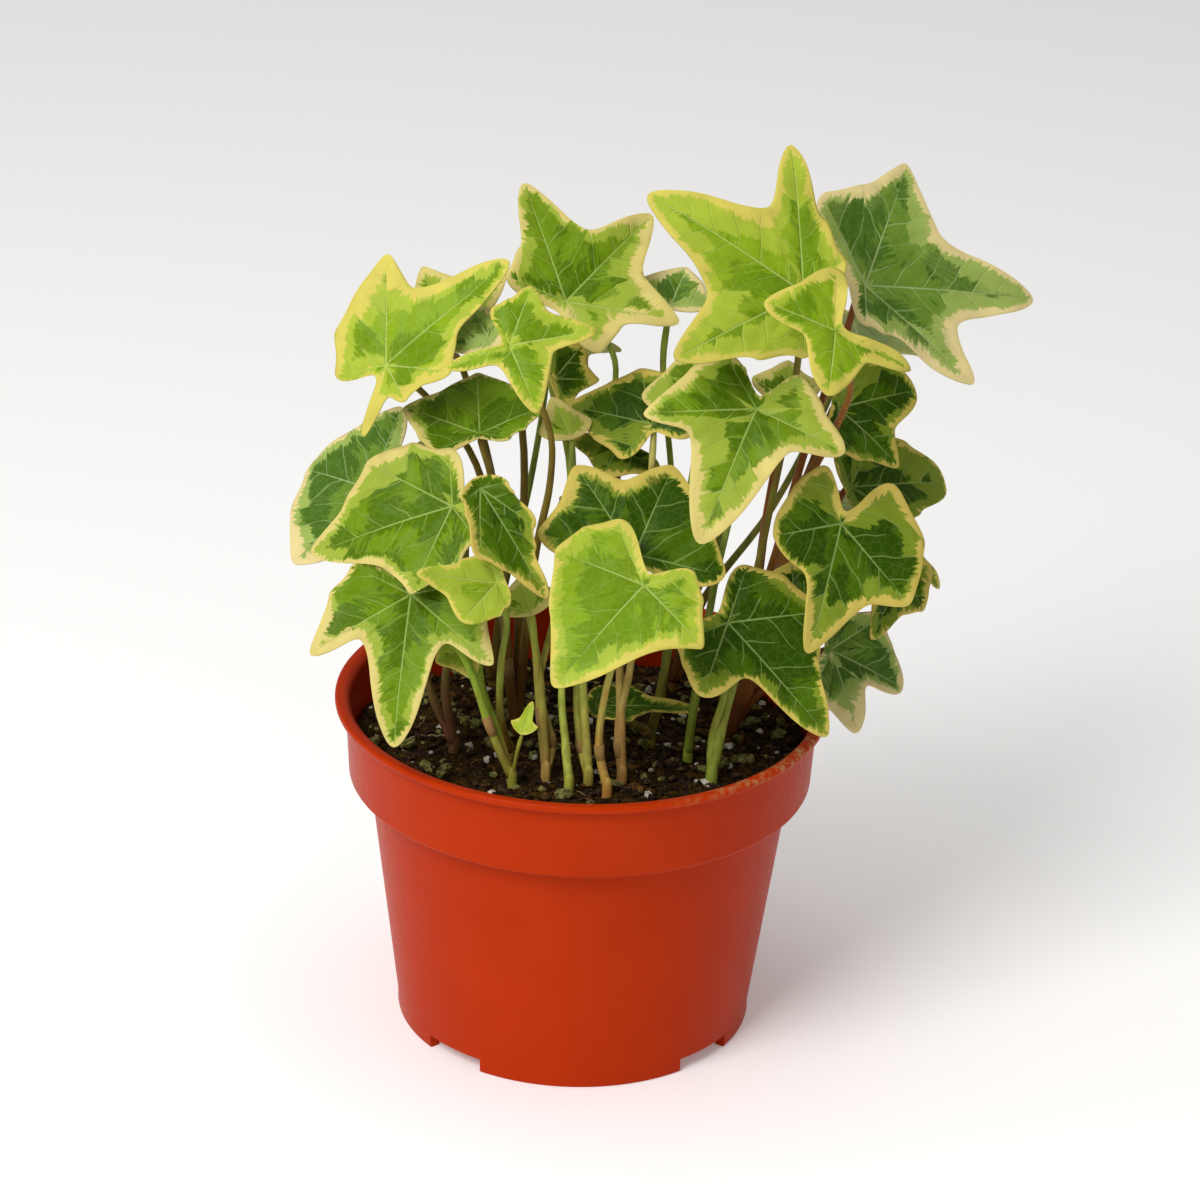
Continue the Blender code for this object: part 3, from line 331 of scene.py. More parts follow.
def add(tree, kind, inputs=(), output=0, **settings):
    """Adds a node with its settings and links, and returns one of its outputs. Its inputs are
    values, hex colours or other nodes' outputs, in their order or by name."""
    made = tree.nodes.new("ShaderNode" + kind)
    for name, value in settings.items():
        setattr(made, name, value)
    for socket, value in inputs.items() if isinstance(inputs, dict) else enumerate(inputs):
        if isinstance(value, bpy.types.NodeSocket):
            tree.links.new(value, made.inputs[socket])
        else:
            made.inputs[socket].default_value = to_linear(value) if isinstance(value, str) else value
    return made.outputs[output]


def new_material(name, roughness, specular, ior=1.5):
    made = bpy.data.materials.new(name)
    made.use_nodes = True
    shader = made.node_tree.nodes["Principled BSDF"]
    shader.inputs["Roughness"].default_value = roughness
    shader.inputs["Specular IOR Level"].default_value = specular
    shader.inputs["IOR"].default_value = ior
    return made, made.node_tree, shader


def give(tree, shader, colour, height=None, depth=0.0, strength=0.0, invert=False):
    """Connects a shader's colour, and its bumps with a depth in mm."""
    tree.links.new(colour, shader.inputs["Base Color"])
    if height is not None:
        bump = add(tree, "Bump", {"Height": height, "Distance": depth * MM, "Strength": strength},
                   invert=invert)
        tree.links.new(bump, shader.inputs["Normal"])


def new_object(name, data):
    made = bpy.data.objects.new(name, data)
    bpy.context.scene.collection.objects.link(made)
    return made


def finish_piece(name, mesh, looks, nodes=()):
    """Adds a finished mesh as a piece on the plant's one body."""
    piece = new_object(name, mesh)
    for look in looks:
        mesh.materials.append(look)
    mesh.shade_smooth()
    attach(piece, "root")
    if nodes:
        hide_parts(*nodes)
    return piece


def mesh_from(bm, name):
    bmesh.ops.translate(bm, vec=AXIS, verts=bm.verts)
    bmesh.ops.scale(bm, vec=(MM, MM, MM), verts=bm.verts)
    mesh = bpy.data.meshes.new(name)
    bm.to_mesh(mesh)
    bm.free()
    return mesh


def grow(bm, edges):
    """Extrudes an open border, and gives the new ring's vertices and edges."""
    grown = bmesh.ops.extrude_edge_only(bm, edges=edges)["geom"]
    ring = [item for item in grown if isinstance(item, bmesh.types.BMVert)]
    return ring, [item for item in grown if isinstance(item, bmesh.types.BMEdge) and item.is_boundary]


def grow_web(bm, rings):
    """Grows the one ring of faces in a bmesh to evenly spaced rings, and gives the rim's edges."""
    edges = [edge for edge in bm.edges if edge.is_boundary]
    for ring in range(1, rings):
        outer, edges = grow(bm, edges)
        bmesh.ops.scale(bm, vec=((ring + 1) / ring,) * 3, verts=outer)
    return edges


def smooth_step(low, high, value):
    t = np.clip((value - low) / (high - low), 0, 1)
    return t * t * (3 - 2 * t)


def soil_height(x, y):
    """Height of the soil's top at a spot in mm from the pot's axis."""
    return SOIL_TOP - SOIL_SLOPE * y + SOIL_MOUND * (1 - (x * x + y * y) / 40 ** 2)


# ---- leaf shape ----

def polar(angle, length):
    """A point of a leaf's plane: 0 degrees is up the middle lobe, clockwise from above."""
    return np.array((length * sin(radians(angle)), length * cos(radians(angle))))


def bezier(points, steps):
    t = np.linspace(0, 1, steps + 1)[:-1, None]
    a, b, c, d = points
    return (1 - t) ** 3 * a + 3 * (1 - t) ** 2 * t * b + 3 * (1 - t) * t * t * c + t ** 3 * d


def half_lobe(bay, lobe, side):
    """Control points of the edge from a bay to the tip of a lobe, side -1 before it, 1 after."""
    angle, length, half_angle = lobe
    tip = polar(angle, length)
    reach = np.linalg.norm(tip - bay)
    outward = bay / np.linalg.norm(bay)
    along = -side * np.array((outward[1], -outward[0]))
    opening = radians(half_angle)
    back = cos(opening) * polar(angle, 1) - side * sin(opening) * polar(angle + 90, 1)
    return bay, bay + BAY_PULL * reach * along, tip - TIP_PULL * reach * back, tip


def leaf_outline(lobes, bays):
    """Points round a leaf, from the notch at its stalk clockwise back to it."""
    first, last = lobes[0][0], lobes[-1][0]
    notch = polar((first + last) / 2 + 180, NOTCH_DEPTH * max(lobe[1] for lobe in lobes))
    starts = [notch] + [polar(*bay) for bay in bays] + [notch]
    rim = []
    for number, lobe in enumerate(lobes):
        rim.append(bezier(half_lobe(starts[number], lobe, -1), RIM_STEPS))
        rim.append(bezier(half_lobe(starts[number + 1], lobe, 1)[::-1], RIM_STEPS))
    rim = np.concatenate(rim)
    for _ in range(RIM_SMOOTHING):
        rim = 0.5 * rim + 0.25 * (np.roll(rim, 1, axis=0) + np.roll(rim, -1, axis=0))
    return rim


def leaf_axes(faces, turn):
    """Sideways, forward and face directions of a leaf."""
    compass, slope = radians(faces[0]), radians(faces[1])
    level = Vector((sin(compass), -cos(compass), 0.0))
    face = level * sin(slope) + Vector((0, 0, cos(slope)))
    downhill = level * cos(slope) - Vector((0, 0, sin(slope)))
    forward = downhill * cos(radians(turn)) + face.cross(downhill) * sin(radians(turn))
    return forward.cross(face), forward, face


def leaf_disc(sides):
    """A flat round web of rings and spokes, the blank that every leaf is shaped from."""
    bm = bmesh.new()
    bmesh.ops.create_circle(bm, cap_ends=True, cap_tris=True, segments=sides, radius=1 / LEAF_RINGS)
    grow_web(bm, LEAF_RINGS)
    bmesh.ops.recalc_face_normals(bm, faces=bm.faces)
    if bm.faces[0].normal.z < 0:
        bmesh.ops.reverse_faces(bm, faces=bm.faces)
    mesh = bpy.data.meshes.new("leaf_blank")
    bm.to_mesh(mesh)
    bm.free()
    return mesh


def rim_distance(plan, rim):
    """How far each point of a leaf lies from its rim."""
    start, run = rim, np.roll(rim, -1, axis=0) - rim
    away = plan[:, None] - start[None]
    share = np.clip((away * run).sum(-1) / (run * run).sum(-1), 0, 1)
    return np.linalg.norm(away - share[..., None] * run, axis=-1).min(axis=1)


def vein_place(plan, half, lobes):
    """Distance along and across the main vein of the half lobe that each point belongs to."""
    angles = np.radians([lobe[0] for lobe in lobes])[half // 2]
    along = plan[:, 0] * np.sin(angles) + plan[:, 1] * np.cos(angles)
    across = np.abs(plan[:, 0] * np.cos(angles) - plan[:, 1] * np.sin(angles))
    return along, across


def edge_widths(rng, width, count):
    """A width for each point of the rim, which changes from tip to bay and side to side."""
    if isinstance(width, tuple):
        keys = list(width)
    else:
        keys = [width * rng.uniform(0.45, 1.75) for _ in range(count)]
    places = np.arange(count * RIM_STEPS) / RIM_STEPS
    return np.interp(places, range(count + 1), keys + keys[:1])


def relief(plan, share, margin, along, across, half, seed):
    """Height of the blade over its plain curved sheet: main veins lie in grooves, the tissue
    between the side veins stands up, and the whole sheet is a little wavy."""
    groove = -GROOVE_DEPTH * np.exp(-(across / GROOVE_WIDTH) ** 2) * (1 - 0.7 * share)
    phase = (along - VEIN_LEAN * across) / VEIN_SPACING + 0.5 * (half % 2)
    quilt = -QUILT_HEIGHT * np.cos(2 * pi * phase) * smooth_step(0.8, 3, across) * smooth_step(0.5, 3, margin)
    wave = [noise.noise(Vector((x / WAVE_SIZE, y / WAVE_SIZE, seed))) for x, y in plan]
    ripple = [noise.noise(Vector((x / RIPPLE_SIZE, y / RIPPLE_SIZE, seed + 50))) for x, y in plan]
    edge = 1 - smooth_step(0, 7, margin)
    return groove + quilt + np.array(wave) * (0.5 + 1.1 * edge) * share + np.array(ripple) * 0.5 * edge


def make_leaf(name, number, blank, design):
    spot, faces, turn, lobes, bays, fold, droop = design
    age, cream_width, pale_width = COLOURING[name]
    rng = Random(number)
    mesh = blank.copy()
    mesh.name = name
    count = len(mesh.vertices)
    flat = np.empty(count * 3)
    mesh.vertices.foreach_get("co", flat)
    flat = flat.reshape(-1, 3)
    halves = 2 * len(lobes)
    sides = halves * RIM_STEPS
    share = np.hypot(flat[:, 0], flat[:, 1])
    spoke = np.round(np.arctan2(flat[:, 0], flat[:, 1]) / (2 * pi) * sides).astype(int) % sides
    rim = leaf_outline(lobes, bays)
    plan = share[:, None] * rim[spoke]
    margin = rim_distance(plan, rim)
    along, across = vein_place(plan, spoke // RIM_STEPS, lobes)
    lift = relief(plan, share, margin, along, across, spoke // RIM_STEPS, 7.3 * number)

    reach = max(lobe[1] for lobe in lobes)
    rise = np.sqrt(plan[:, 0] ** 2 + 1) - 1
    bent = plan[:, 0] - np.sign(plan[:, 0]) * (1 - cos(radians(fold))) * rise
    height = sin(radians(fold)) * rise - droop * (plan ** 2).sum(axis=1) / reach + lift
    axes = np.array([list(axis) for axis in leaf_axes(faces, turn)])
    home = np.array(spot) + np.array(AXIS)
    places = (home + np.stack([bent, plan[:, 1], height], axis=1) @ axes) * MM
    mesh.vertices.foreach_set("co", places.ravel())

    for key, values in (("margin", margin), ("reach", share),
                        ("cream", edge_widths(rng, cream_width, halves)[spoke]),
                        ("pale", edge_widths(rng, pale_width, halves)[spoke])):
        mesh.attributes.new(key, "FLOAT", "POINT").data.foreach_set("value", values)

    corner_vertex = np.empty(len(mesh.loops), int)
    mesh.loops.foreach_get("vertex_index", corner_vertex)
    sizes = np.empty(len(mesh.polygons), int)
    mesh.polygons.foreach_get("loop_total", sizes)
    middles = np.array([np.mean(flat[list(face.vertices), :2], axis=0) for face in mesh.polygons])
    turns = (np.arctan2(middles[:, 0], middles[:, 1]) / (2 * pi)) % 1
    half = np.repeat((turns * halves).astype(int), sizes)
    veins = np.stack(vein_place(plan[corner_vertex], half, lobes), axis=1)
    mesh.uv_layers.new(name="veins").data.foreach_set("uv", veins.ravel())
    sector = mesh.attributes.new("sector", "FLOAT", "CORNER")
    sector.data.foreach_set("value", (number * SECTOR_STEP + half).astype(float))
    mesh.update()

    leaf = finish_piece(name, mesh, LEAF_LOOKS[age], (name,))
    # The underside takes the second look; the rim keeps the first one, and its shading stays flat.
    wall = leaf.modifiers.new("thickness", "SOLIDIFY")
    wall.thickness = LEAF_THICK * MM
    wall.offset = 0.0
    wall.material_offset = 1
    wall.material_offset_rim = 0
    shading = leaf.modifiers.new("crisp_rim", "WEIGHTED_NORMAL")
    shading.weight = 95


# ---- leaf colour ----

def leaf_material(name, age, underside):
    """Living ivy leaf with its wax skin: a soft sheen on a green that is broken along the side
    veins into deep, middle and pale patches, with a ragged cream edge and pale main veins."""
    deep, middle, pale, cream, vein, strength = AGES[age]
    made, tree, shader = new_material(name, 0.6 if underside else 0.42, 0.09, 1.45)
    position = add(tree, "TexCoord", output="Object")
    veins = add(tree, "UVMap", uv_map="veins")
    along, across = (add(tree, "SeparateXYZ", (veins,), axis) for axis in (0, 1))
    sector, margin, reach, cream_width, pale_width = (
        add(tree, "Attribute", output="Fac", attribute_name=key)
        for key in ("sector", "margin", "reach", "cream", "pale"))

    def grain(run, length, width, seed, detail, roughness):
        """Noise from -0.5 to 0.5 whose grains have a length and a width in mm."""
        place = add(tree, "CombineXYZ", (run, across, seed))
        place = add(tree, "Mapping", {"Vector": place, "Scale": (1 / length, 1 / width, 1)})
        flecks = add(tree, "TexNoise", {"Vector": place, "Scale": 1.0, "Detail": detail,
                                        "Roughness": roughness})
        return add(tree, "Math", (flecks, 0.5), operation="SUBTRACT")

    # The side veins: their number counts up along the main vein, a little unevenly.
    slant = add(tree, "Math", (across, -VEIN_LEAN, along), operation="MULTIPLY_ADD")
    count = add(tree, "Math", (slant, VEIN_SPACING), operation="DIVIDE")
    for shift, share in ((sector, 0.37), (grain(along, 9, 9, sector, 1, 0.5), 0.9)):
        count = add(tree, "Math", (shift, share, count), operation="MULTIPLY_ADD")
    step = add(tree, "Math", (count,), operation="FLOOR")
    side_gap = add(tree, "Math", (count, 0.5), operation="PINGPONG")
    side_gap = add(tree, "Math", (side_gap, 0.78 * VEIN_SPACING), operation="MULTIPLY")

    # Ragged boundaries: teeth that point along the side veins, and broader lumps.
    teeth = grain(slant, 0.9, 5, sector, 3, 0.7)
    lumps = grain(slant, 4.5, 8, add(tree, "Math", (sector, 0.5), operation="ADD"), 2, 0.6)
    ragged = margin
    for shift, size in ((teeth, 3.6), (lumps, 3.4)):
        ragged = add(tree, "Math", (shift, size, ragged), operation="MULTIPLY_ADD")

    def rim_band(width, seed, spread, least, soft):
        """1 in a band along the rim, whose width changes from one side vein to the next."""
        place = add(tree, "CombineXYZ", (add(tree, "Math", (step, seed), operation="ADD"), sector))
        chance = add(tree, "TexWhiteNoise", {"Vector": place}, "Value", noise_dimensions="2D")
        chance = add(tree, "Math", (chance, spread, least), operation="MULTIPLY_ADD")
        width = add(tree, "Math", (width, chance), operation="MULTIPLY")
        inside = add(tree, "Math", (width, ragged), operation="SUBTRACT")
        return add(tree, "MapRange", (inside, -soft, soft), interpolation_type="SMOOTHSTEP")

    in_cream = rim_band(cream_width, 0.0, 0.6, 0.5, 0.15)
    in_pale = rim_band(pale_width, 0.5, 1.1, 0.45, 0.25)
    blotches = add(tree, "TexNoise", {"Vector": position, "Scale": 1 / (11 * MM), "Detail": 1.0})
    tone = add(tree, "Math", (blotches, 1.6), operation="MULTIPLY")
    for shift, share in ((teeth, 0.7), (lumps, 0.5)):
        tone = add(tree, "Math", (shift, share, tone), operation="MULTIPLY_ADD")
    in_middle = add(tree, "MapRange", (tone, 0.78, 0.86), interpolation_type="SMOOTHSTEP")

    def vein_line(distance, outward, change, width, blur, hidden, full):
        """1 along a vein that gets thinner outward and fades towards the rim."""
        width = add(tree, "Math", (outward, change, width), operation="MULTIPLY_ADD")
        beside = add(tree, "Math", (distance, width), operation="DIVIDE")
        line = add(tree, "MapRange", (beside, 0.4, blur, 1.0, 0.0), interpolation_type="SMOOTHSTEP")
        shown = add(tree, "MapRange", (margin, hidden, full), interpolation_type="SMOOTHSTEP")
        return add(tree, "Math", (line, shown), operation="MULTIPLY")

    on_main = vein_line(across, reach, -0.22, 0.36, 1.15, 0.3, 4.0)
    on_side = vein_line(side_gap, across, -0.01, 0.19, 1.4, 0.5, 3.0)
    net = add(tree, "TexVoronoi", {"Vector": position, "Scale": 1 / (2 * MM)}, "Distance",
              feature="DISTANCE_TO_EDGE")
    on_net = add(tree, "MapRange", (net, 0.02, 0.12, 0.07, 0.0), interpolation_type="SMOOTHSTEP")
    main_share = add(tree, "Math", (on_main, 0.45 + 0.6 * strength), operation="MULTIPLY")
    side_share = add(tree, "Math", (on_side, strength), operation="MULTIPLY")

    layers = [(in_middle, middle), (in_pale, pale), (on_net, vein), (side_share, vein),
              (in_cream, cream), (main_share, vein)]
    if underside:
        layers.append((0.45, "AEB98A"))
    colour = deep
    for share, over in layers:
        colour = add(tree, "Mix", {0: share, 6: colour, 7: over}, 2, data_type="RGBA")
    clouds = add(tree, "TexNoise", {"Vector": position, "Scale": 1 / (5 * MM), "Detail": 3.0})
    bright = add(tree, "Math", (clouds, 0.36, 0.82), operation="MULTIPLY_ADD")
    colour = add(tree, "VectorMath", {0: colour, "Scale": bright}, operation="SCALE")

    height = add(tree, "Math", (on_side, 0.6), operation="MULTIPLY")
    height = add(tree, "Math", (on_main, height), operation="MAXIMUM")
    height = add(tree, "Math", (clouds, -0.5, height), operation="MULTIPLY_ADD")
    give(tree, shader, colour, height, 0.25, 0.7, not underside)
    return made


# ---- stalks ----

def smooth_path(points, parts):
    """Points of a smooth curve through the given ones."""
    ends = [2 * points[0] - points[1]] + points + [2 * points[-1] - points[-2]]
    path = []
    for a, b, c, d in zip(ends, ends[1:], ends[2:], ends[3:]):
        for number in range(parts):
            t = number / parts
            path.append(0.5 * (2 * b + (c - a) * t + (2 * a - 5 * b + 4 * c - d) * t * t
                               + (3 * b - a - 3 * c + d) * t ** 3))
    return path + [points[-1]]


def sweep(bm, path, radii, sides=10):
    """Carries a ring along a path, with a radius at each point, and closes both ends."""
    heading = path[1] - path[0]
    turn = Vector((0, 0, 1)).rotation_difference(heading)
    at = Matrix.Translation(path[0]) @ turn.to_matrix().to_4x4() @ Matrix.Scale(radii[0], 4)
    ring = bmesh.ops.create_circle(bm, cap_ends=True, segments=sides, radius=1.0, matrix=at)["verts"]
    faces = {face for vert in ring for face in vert.link_faces}
    edges = list({edge for vert in ring for edge in vert.link_edges})
    for number in range(1, len(path)):
        if number + 1 < len(path):
            ahead = path[number + 1] - path[number - 1]
            turn = heading.rotation_difference(ahead) @ turn
            heading = ahead
        now = Matrix.Translation(path[number]) @ turn.to_matrix().to_4x4() @ Matrix.Scale(radii[number], 4)
        ring, edges = grow(bm, edges)
        bmesh.ops.transform(bm, matrix=now @ at.inverted(), verts=ring)
        faces |= {face for vert in ring for face in vert.link_faces}
        at = now
    faces |= set(bmesh.ops.contextual_create(bm, geom=edges)["faces"])
    return list(faces)


def stalk_material(name, foot, top):
    """Young bark and green stalk: satin skin, brown at the soil and greener towards the leaf,
    with fine lengthwise streaks."""
    made, tree, shader = new_material(name, 0.5, 0.15, 1.45)
    position = add(tree, "TexCoord", output="Object")
    height = add(tree, "SeparateXYZ", (position,), 2)
    rise = add(tree, "MapRange", (height, SOIL_TOP * MM, (SOIL_TOP + GREEN_RISE) * MM))
    patches = add(tree, "TexNoise", {"Vector": position, "Scale": 1 / (9 * MM)})
    share = add(tree, "Math", (patches, 1.2, -0.6), operation="MULTIPLY_ADD")
    share = add(tree, "Math", (rise, share), operation="ADD", use_clamp=True)
    colour = add(tree, "Mix", {0: share, 6: foot, 7: top}, 2, data_type="RGBA")
    stretched = add(tree, "Mapping", {"Vector": position, "Scale": (1, 1, 0.12)})
    streaks = add(tree, "TexNoise", {"Vector": stretched, "Scale": 1 / (1.2 * MM), "Detail": 3.0})
    shade = add(tree, "MapRange", (streaks, 0.3, 0.7, 0.72, 1.2))
    colour = add(tree, "VectorMath", {0: colour, "Scale": shade}, operation="SCALE")
    give(tree, shader, colour, streaks, 0.15, 0.6)
    return made


def sheath_material():
    """Dry bud scale: thin papery brown skin, matt."""
    made, tree, shader = new_material("dry_bud_scale", 0.8, 0.3)
    position = add(tree, "TexCoord", output="Object")
    spots = add(tree, "TexNoise", {"Vector": position, "Scale": 1 / (1.5 * MM), "Detail": 4.0})
    give(tree, shader, add(tree, "Mix", {0: spots, 6: "6E4A24", 7: "A6884C"}, 2, data_type="RGBA"))
    return made


def stalk_way(leaf, start, way):
    """A stalk's points from its stem to where it joins its blade."""
    spot, faces, turn, lobes = LEAVES[leaf][:4]
    side, forward, face = leaf_axes(faces, turn)
    middle = radians((lobes[0][0] + lobes[-1][0]) / 2)
    away = -(forward * cos(middle) + side * sin(middle))
    under = Vector(spot) - face * 1.5 + away * 0.8
    joint = Vector(spot) - face * 0.75
    return [start] + [Vector(point) for point in way] + [under, joint]


def make_stem(name, spot, stalks):
    x, y = spot
    ground = soil_height(x, y)
    rng = Random(name)
    bm = bmesh.new()
    foot = [Vector((x, y, ground - SOCKET_DEPTH + GAP)), Vector((x, y, ground - 1)),
            Vector((x, y, ground + 0.6)), Vector((x, y, ground + STUMP_RISE)),
            Vector((x, y, ground + STUMP_RISE + 1.2))]
    thick = FOOT_RADII.get(name, 1.1)
    sweep(bm, foot, [thick, thick * 1.02, thick * 1.04, thick * 0.96, 0.5])
    scales = []
    for leaf, way in stalks.items():
        points = stalk_way(leaf, Vector((x, y, ground + STUMP_RISE - 1.2)), way)
        path = smooth_path(points[:-1], PATH_PARTS) + points[-1:]
        last = len(path) - 1
        node_at = rng.randint(3, 6)
        base, tip = thick * 0.95, 0.6
        if leaf == "leaf_27":    # the thread of a stalk, without a node
            base, tip, node_at = 0.5, 0.35, -9
        radii = []
        for number in range(len(path)):
            radius = tip + (base - tip) * (1 - number / last) ** 1.6
            radius *= 1 + 0.12 * exp(-(number - node_at) ** 2 / 0.8)
            radius *= 1 + 0.25 * exp(-(last - number - 4) ** 2 / 6)
            radii.append(radius)
        radii[-1] = 0.25
        sweep(bm, path, radii)
        if node_at > 0 and rng.random() < 0.22:
            scales += sweep(bm, path[node_at - 1:node_at + 2],
                            [radii[node_at - 1] * 1.05, radii[node_at] * 1.08, radii[node_at + 1] * 1.25], 9)
    bmesh.ops.recalc_face_normals(bm, faces=bm.faces)
    for face in scales:
        face.material_index = 1
    looks = [stalk_material(f"{name}_bark", *STALK_COLOURS[name]), SHEATH]
    finish_piece(name, mesh_from(bm, name), looks, (name,))


# ---- pot ----

def inner_radius(height):
    """Inside radius of the pot's wall."""
    if height >= COLLAR_Z + WALL:
        rise = (height - COLLAR_Z) / (POT_HEIGHT - COLLAR_Z)
        return COLLAR_RADIUS + (COLLAR_TOP_RADIUS - COLLAR_RADIUS) * rise - WALL
    rise = max(height, 0.0) / COLLAR_Z
    return BASE_RADIUS + (BODY_TOP_RADIUS - BASE_RADIUS) * rise - WALL


def rounded(points, radius, steps=4):
    """A profile with its inner corners rounded to a radius, as a mould leaves them."""
    made = [Vector(points[0])]
    for before, corner, after in zip(points, points[1:], points[2:]):
        before, corner, after = Vector(before), Vector(corner), Vector(after)
        cut = min(radius, (before - corner).length * 0.45, (after - corner).length * 0.45)
        start = corner + (before - corner).normalized() * cut
        end = corner + (after - corner).normalized() * cut
        for number in range(steps + 1):
            t = number / steps
            made.append((1 - t) ** 2 * start + 2 * (1 - t) * t * corner + t * t * end)
    return made + [Vector(points[-1])]


def turned(bm, profile, steps):
    """Turns an open profile of (radius, height) into a closed skin."""
    line = [bm.verts.new((point[0], 0, point[1])) for point in profile]
    edges = [bm.edges.new(pair) for pair in zip(line, line[1:])]
    bmesh.ops.spin(bm, geom=line + edges, cent=(0, 0, 0), axis=(0, 0, -1), angle=2 * pi,
                   steps=steps, use_merge=True)
    bmesh.ops.remove_doubles(bm, verts=bm.verts, dist=0.001)
    bmesh.ops.recalc_face_normals(bm, faces=bm.faces)


def make_pot():
    floor_top = FOOT_HEIGHT + 0.4 + WALL
    lip_under = POT_HEIGHT - LIP_THICK
    foot_inside = BASE_RADIUS - FOOT_WALL - 0.7
    inside = [(0, floor_top), (inner_radius(floor_top) - 1.0, floor_top),
              (inner_radius(floor_top + 1), floor_top + 1.0),
              (inner_radius(COLLAR_Z - 2.2), COLLAR_Z - 2.2),
              (inner_radius(COLLAR_Z + 1.6) - 0.7, COLLAR_Z - 0.4),
              (inner_radius(COLLAR_Z + 1.6), COLLAR_Z + 0.9),
              (inner_radius(POT_HEIGHT), POT_HEIGHT - 1.2), (inner_radius(POT_HEIGHT) + 1.2, POT_HEIGHT)]
    outside = [(LIP_RADIUS, POT_HEIGHT), (LIP_RADIUS, lip_under), (COLLAR_TOP_RADIUS, lip_under),
               (COLLAR_RADIUS, COLLAR_Z), (BODY_TOP_RADIUS + 0.4, COLLAR_Z - 1.2),
               (BODY_TOP_RADIUS - 0.3, COLLAR_Z - 2.4), (BASE_RADIUS + 0.3, FOOT_HEIGHT)]
    under = [(foot_inside, FOOT_HEIGHT), (foot_inside, FOOT_HEIGHT + 0.4), (0, FOOT_HEIGHT + 0.4)]
    bm = bmesh.new()
    turned(bm, rounded(inside + outside, 0.8) + [Vector(point) for point in under], POT_STEPS)

    def in_foot(face):
        middle = face.calc_center_median()
        if max(abs(vert.co.z - FOOT_HEIGHT) for vert in face.verts) > 0.01 or hypot(*middle.xy) < foot_inside:
            return False
        angle = atan2(middle.y, middle.x) * 180 / pi
        return all(abs((angle - gap + 180) % 360 - 180) > FOOT_GAP_HALF for gap in FOOT_GAP_ANGLES)

    # Down to the ground in steps, each with its edges drawn in a little more.
    sole = [face for face in bm.faces if in_foot(face)]
    for depth, inset in ((FOOT_HEIGHT - 0.7, 0.0), (0.45, 0.12), (0.25, 0.3)):
        grown = bmesh.ops.extrude_face_region(bm, geom=sole)["geom"]
        bmesh.ops.delete(bm, geom=sole, context="FACES_ONLY")
        sole = [item for item in grown if isinstance(item, bmesh.types.BMFace)]
        lower = [item for item in grown if isinstance(item, bmesh.types.BMVert)]
        bmesh.ops.translate(bm, vec=(0, 0, -depth), verts=lower)
        ring_middle = (BASE_RADIUS + foot_inside) / 2
        for vert in lower:
            way = Vector((vert.co.x, vert.co.y, 0)).normalized()
            vert.co -= way * (inset if hypot(vert.co.x, vert.co.y) > ring_middle else -inset)
    bmesh.ops.recalc_face_normals(bm, faces=bm.faces)
    mesh = mesh_from(bm, "pot")

    drills = bmesh.new()
    spots = [(0.0, 0.0)]
    spots += [polar(4 + 360 * number / DRAIN_COUNT, DRAIN_RING) for number in range(DRAIN_COUNT)]
    for x, y in spots:
        made = bmesh.ops.create_cone(drills, cap_ends=True, segments=32, radius1=DRAIN_RADIUS,
                                     radius2=DRAIN_RADIUS, depth=6)["verts"]
        bmesh.ops.translate(drills, vec=(x, y, FOOT_HEIGHT + 1), verts=made)
    drill = new_object("drain_drill", mesh_from(drills, "drain_drill"))
    blank = new_object("pot_blank", mesh)
    cut = blank.modifiers.new("drains", "BOOLEAN")
    cut.operation = "DIFFERENCE"
    cut.object = drill
    bpy.context.view_layer.update()
    finished = bpy.data.meshes.new_from_object(blank.evaluated_get(bpy.context.evaluated_depsgraph_get()))
    for item in (drill, blank):
        bpy.data.objects.remove(item)
    finish_piece("pot", finished, [pot_material()], ("pot",))
    finished.set_sharp_from_angle(angle=radians(34))


def pot_material():
    """Injection-moulded polypropylene in terracotta red: satin, with the faint orange peel of
    its mould, slight clouding of the pigment and dry peat dust on the lip."""
    made, tree, shader = new_material("moulded_polypropylene", 0.42, 0.06, 1.49)
    position = add(tree, "TexCoord", output="Object")
    sideways, height = (add(tree, "SeparateXYZ", (position,), axis) for axis in (0, 2))
    near_top = add(tree, "MapRange", (height, (POT_HEIGHT - 2) * MM, (POT_HEIGHT - 0.2) * MM))
    to_right = add(tree, "MapRange", (sideways, 0.0, 30 * MM))
    specks = add(tree, "TexNoise", {"Vector": position, "Scale": 1 / (1.6 * MM), "Detail": 5.0,
                                    "Roughness": 0.7})
    dust = add(tree, "MapRange", (specks, 0.46, 0.62))
    for share in (near_top, to_right):
        dust = add(tree, "Math", (dust, share), operation="MULTIPLY")
    colour = add(tree, "TexNoise", {"Vector": position, "Scale": 1 / (18 * MM), "Detail": 4.0})
    colour = add(tree, "Mix", {0: colour, 6: "AA2A00", 7: "B83402"}, 2, data_type="RGBA")
    colour = add(tree, "Mix", {0: dust, 6: colour, 7: "B08A58"}, 2, data_type="RGBA")
    tree.links.new(add(tree, "MapRange", (specks, 0.3, 0.7, 0.3, 0.44)), shader.inputs["Roughness"])
    peel = add(tree, "TexNoise", {"Vector": position, "Scale": 1 / (0.9 * MM)})
    give(tree, shader, colour, peel, 0.05, 0.4)
    return made


# ---- soil ----

def lumpy(x, y):
    """Height of the crumbly soil at a spot, in mm."""
    broad = noise.noise(Vector((x / 9, y / 9, 3.1))) * 1.3
    clods = noise.noise(Vector((x / 3.2, y / 3.2, 8.4))) * 1.1
    fine = noise.noise(Vector((x / 1.3, y / 1.3, 1.7))) * 0.5
    return soil_height(x, y) + broad + abs(clods) + fine - 0.4


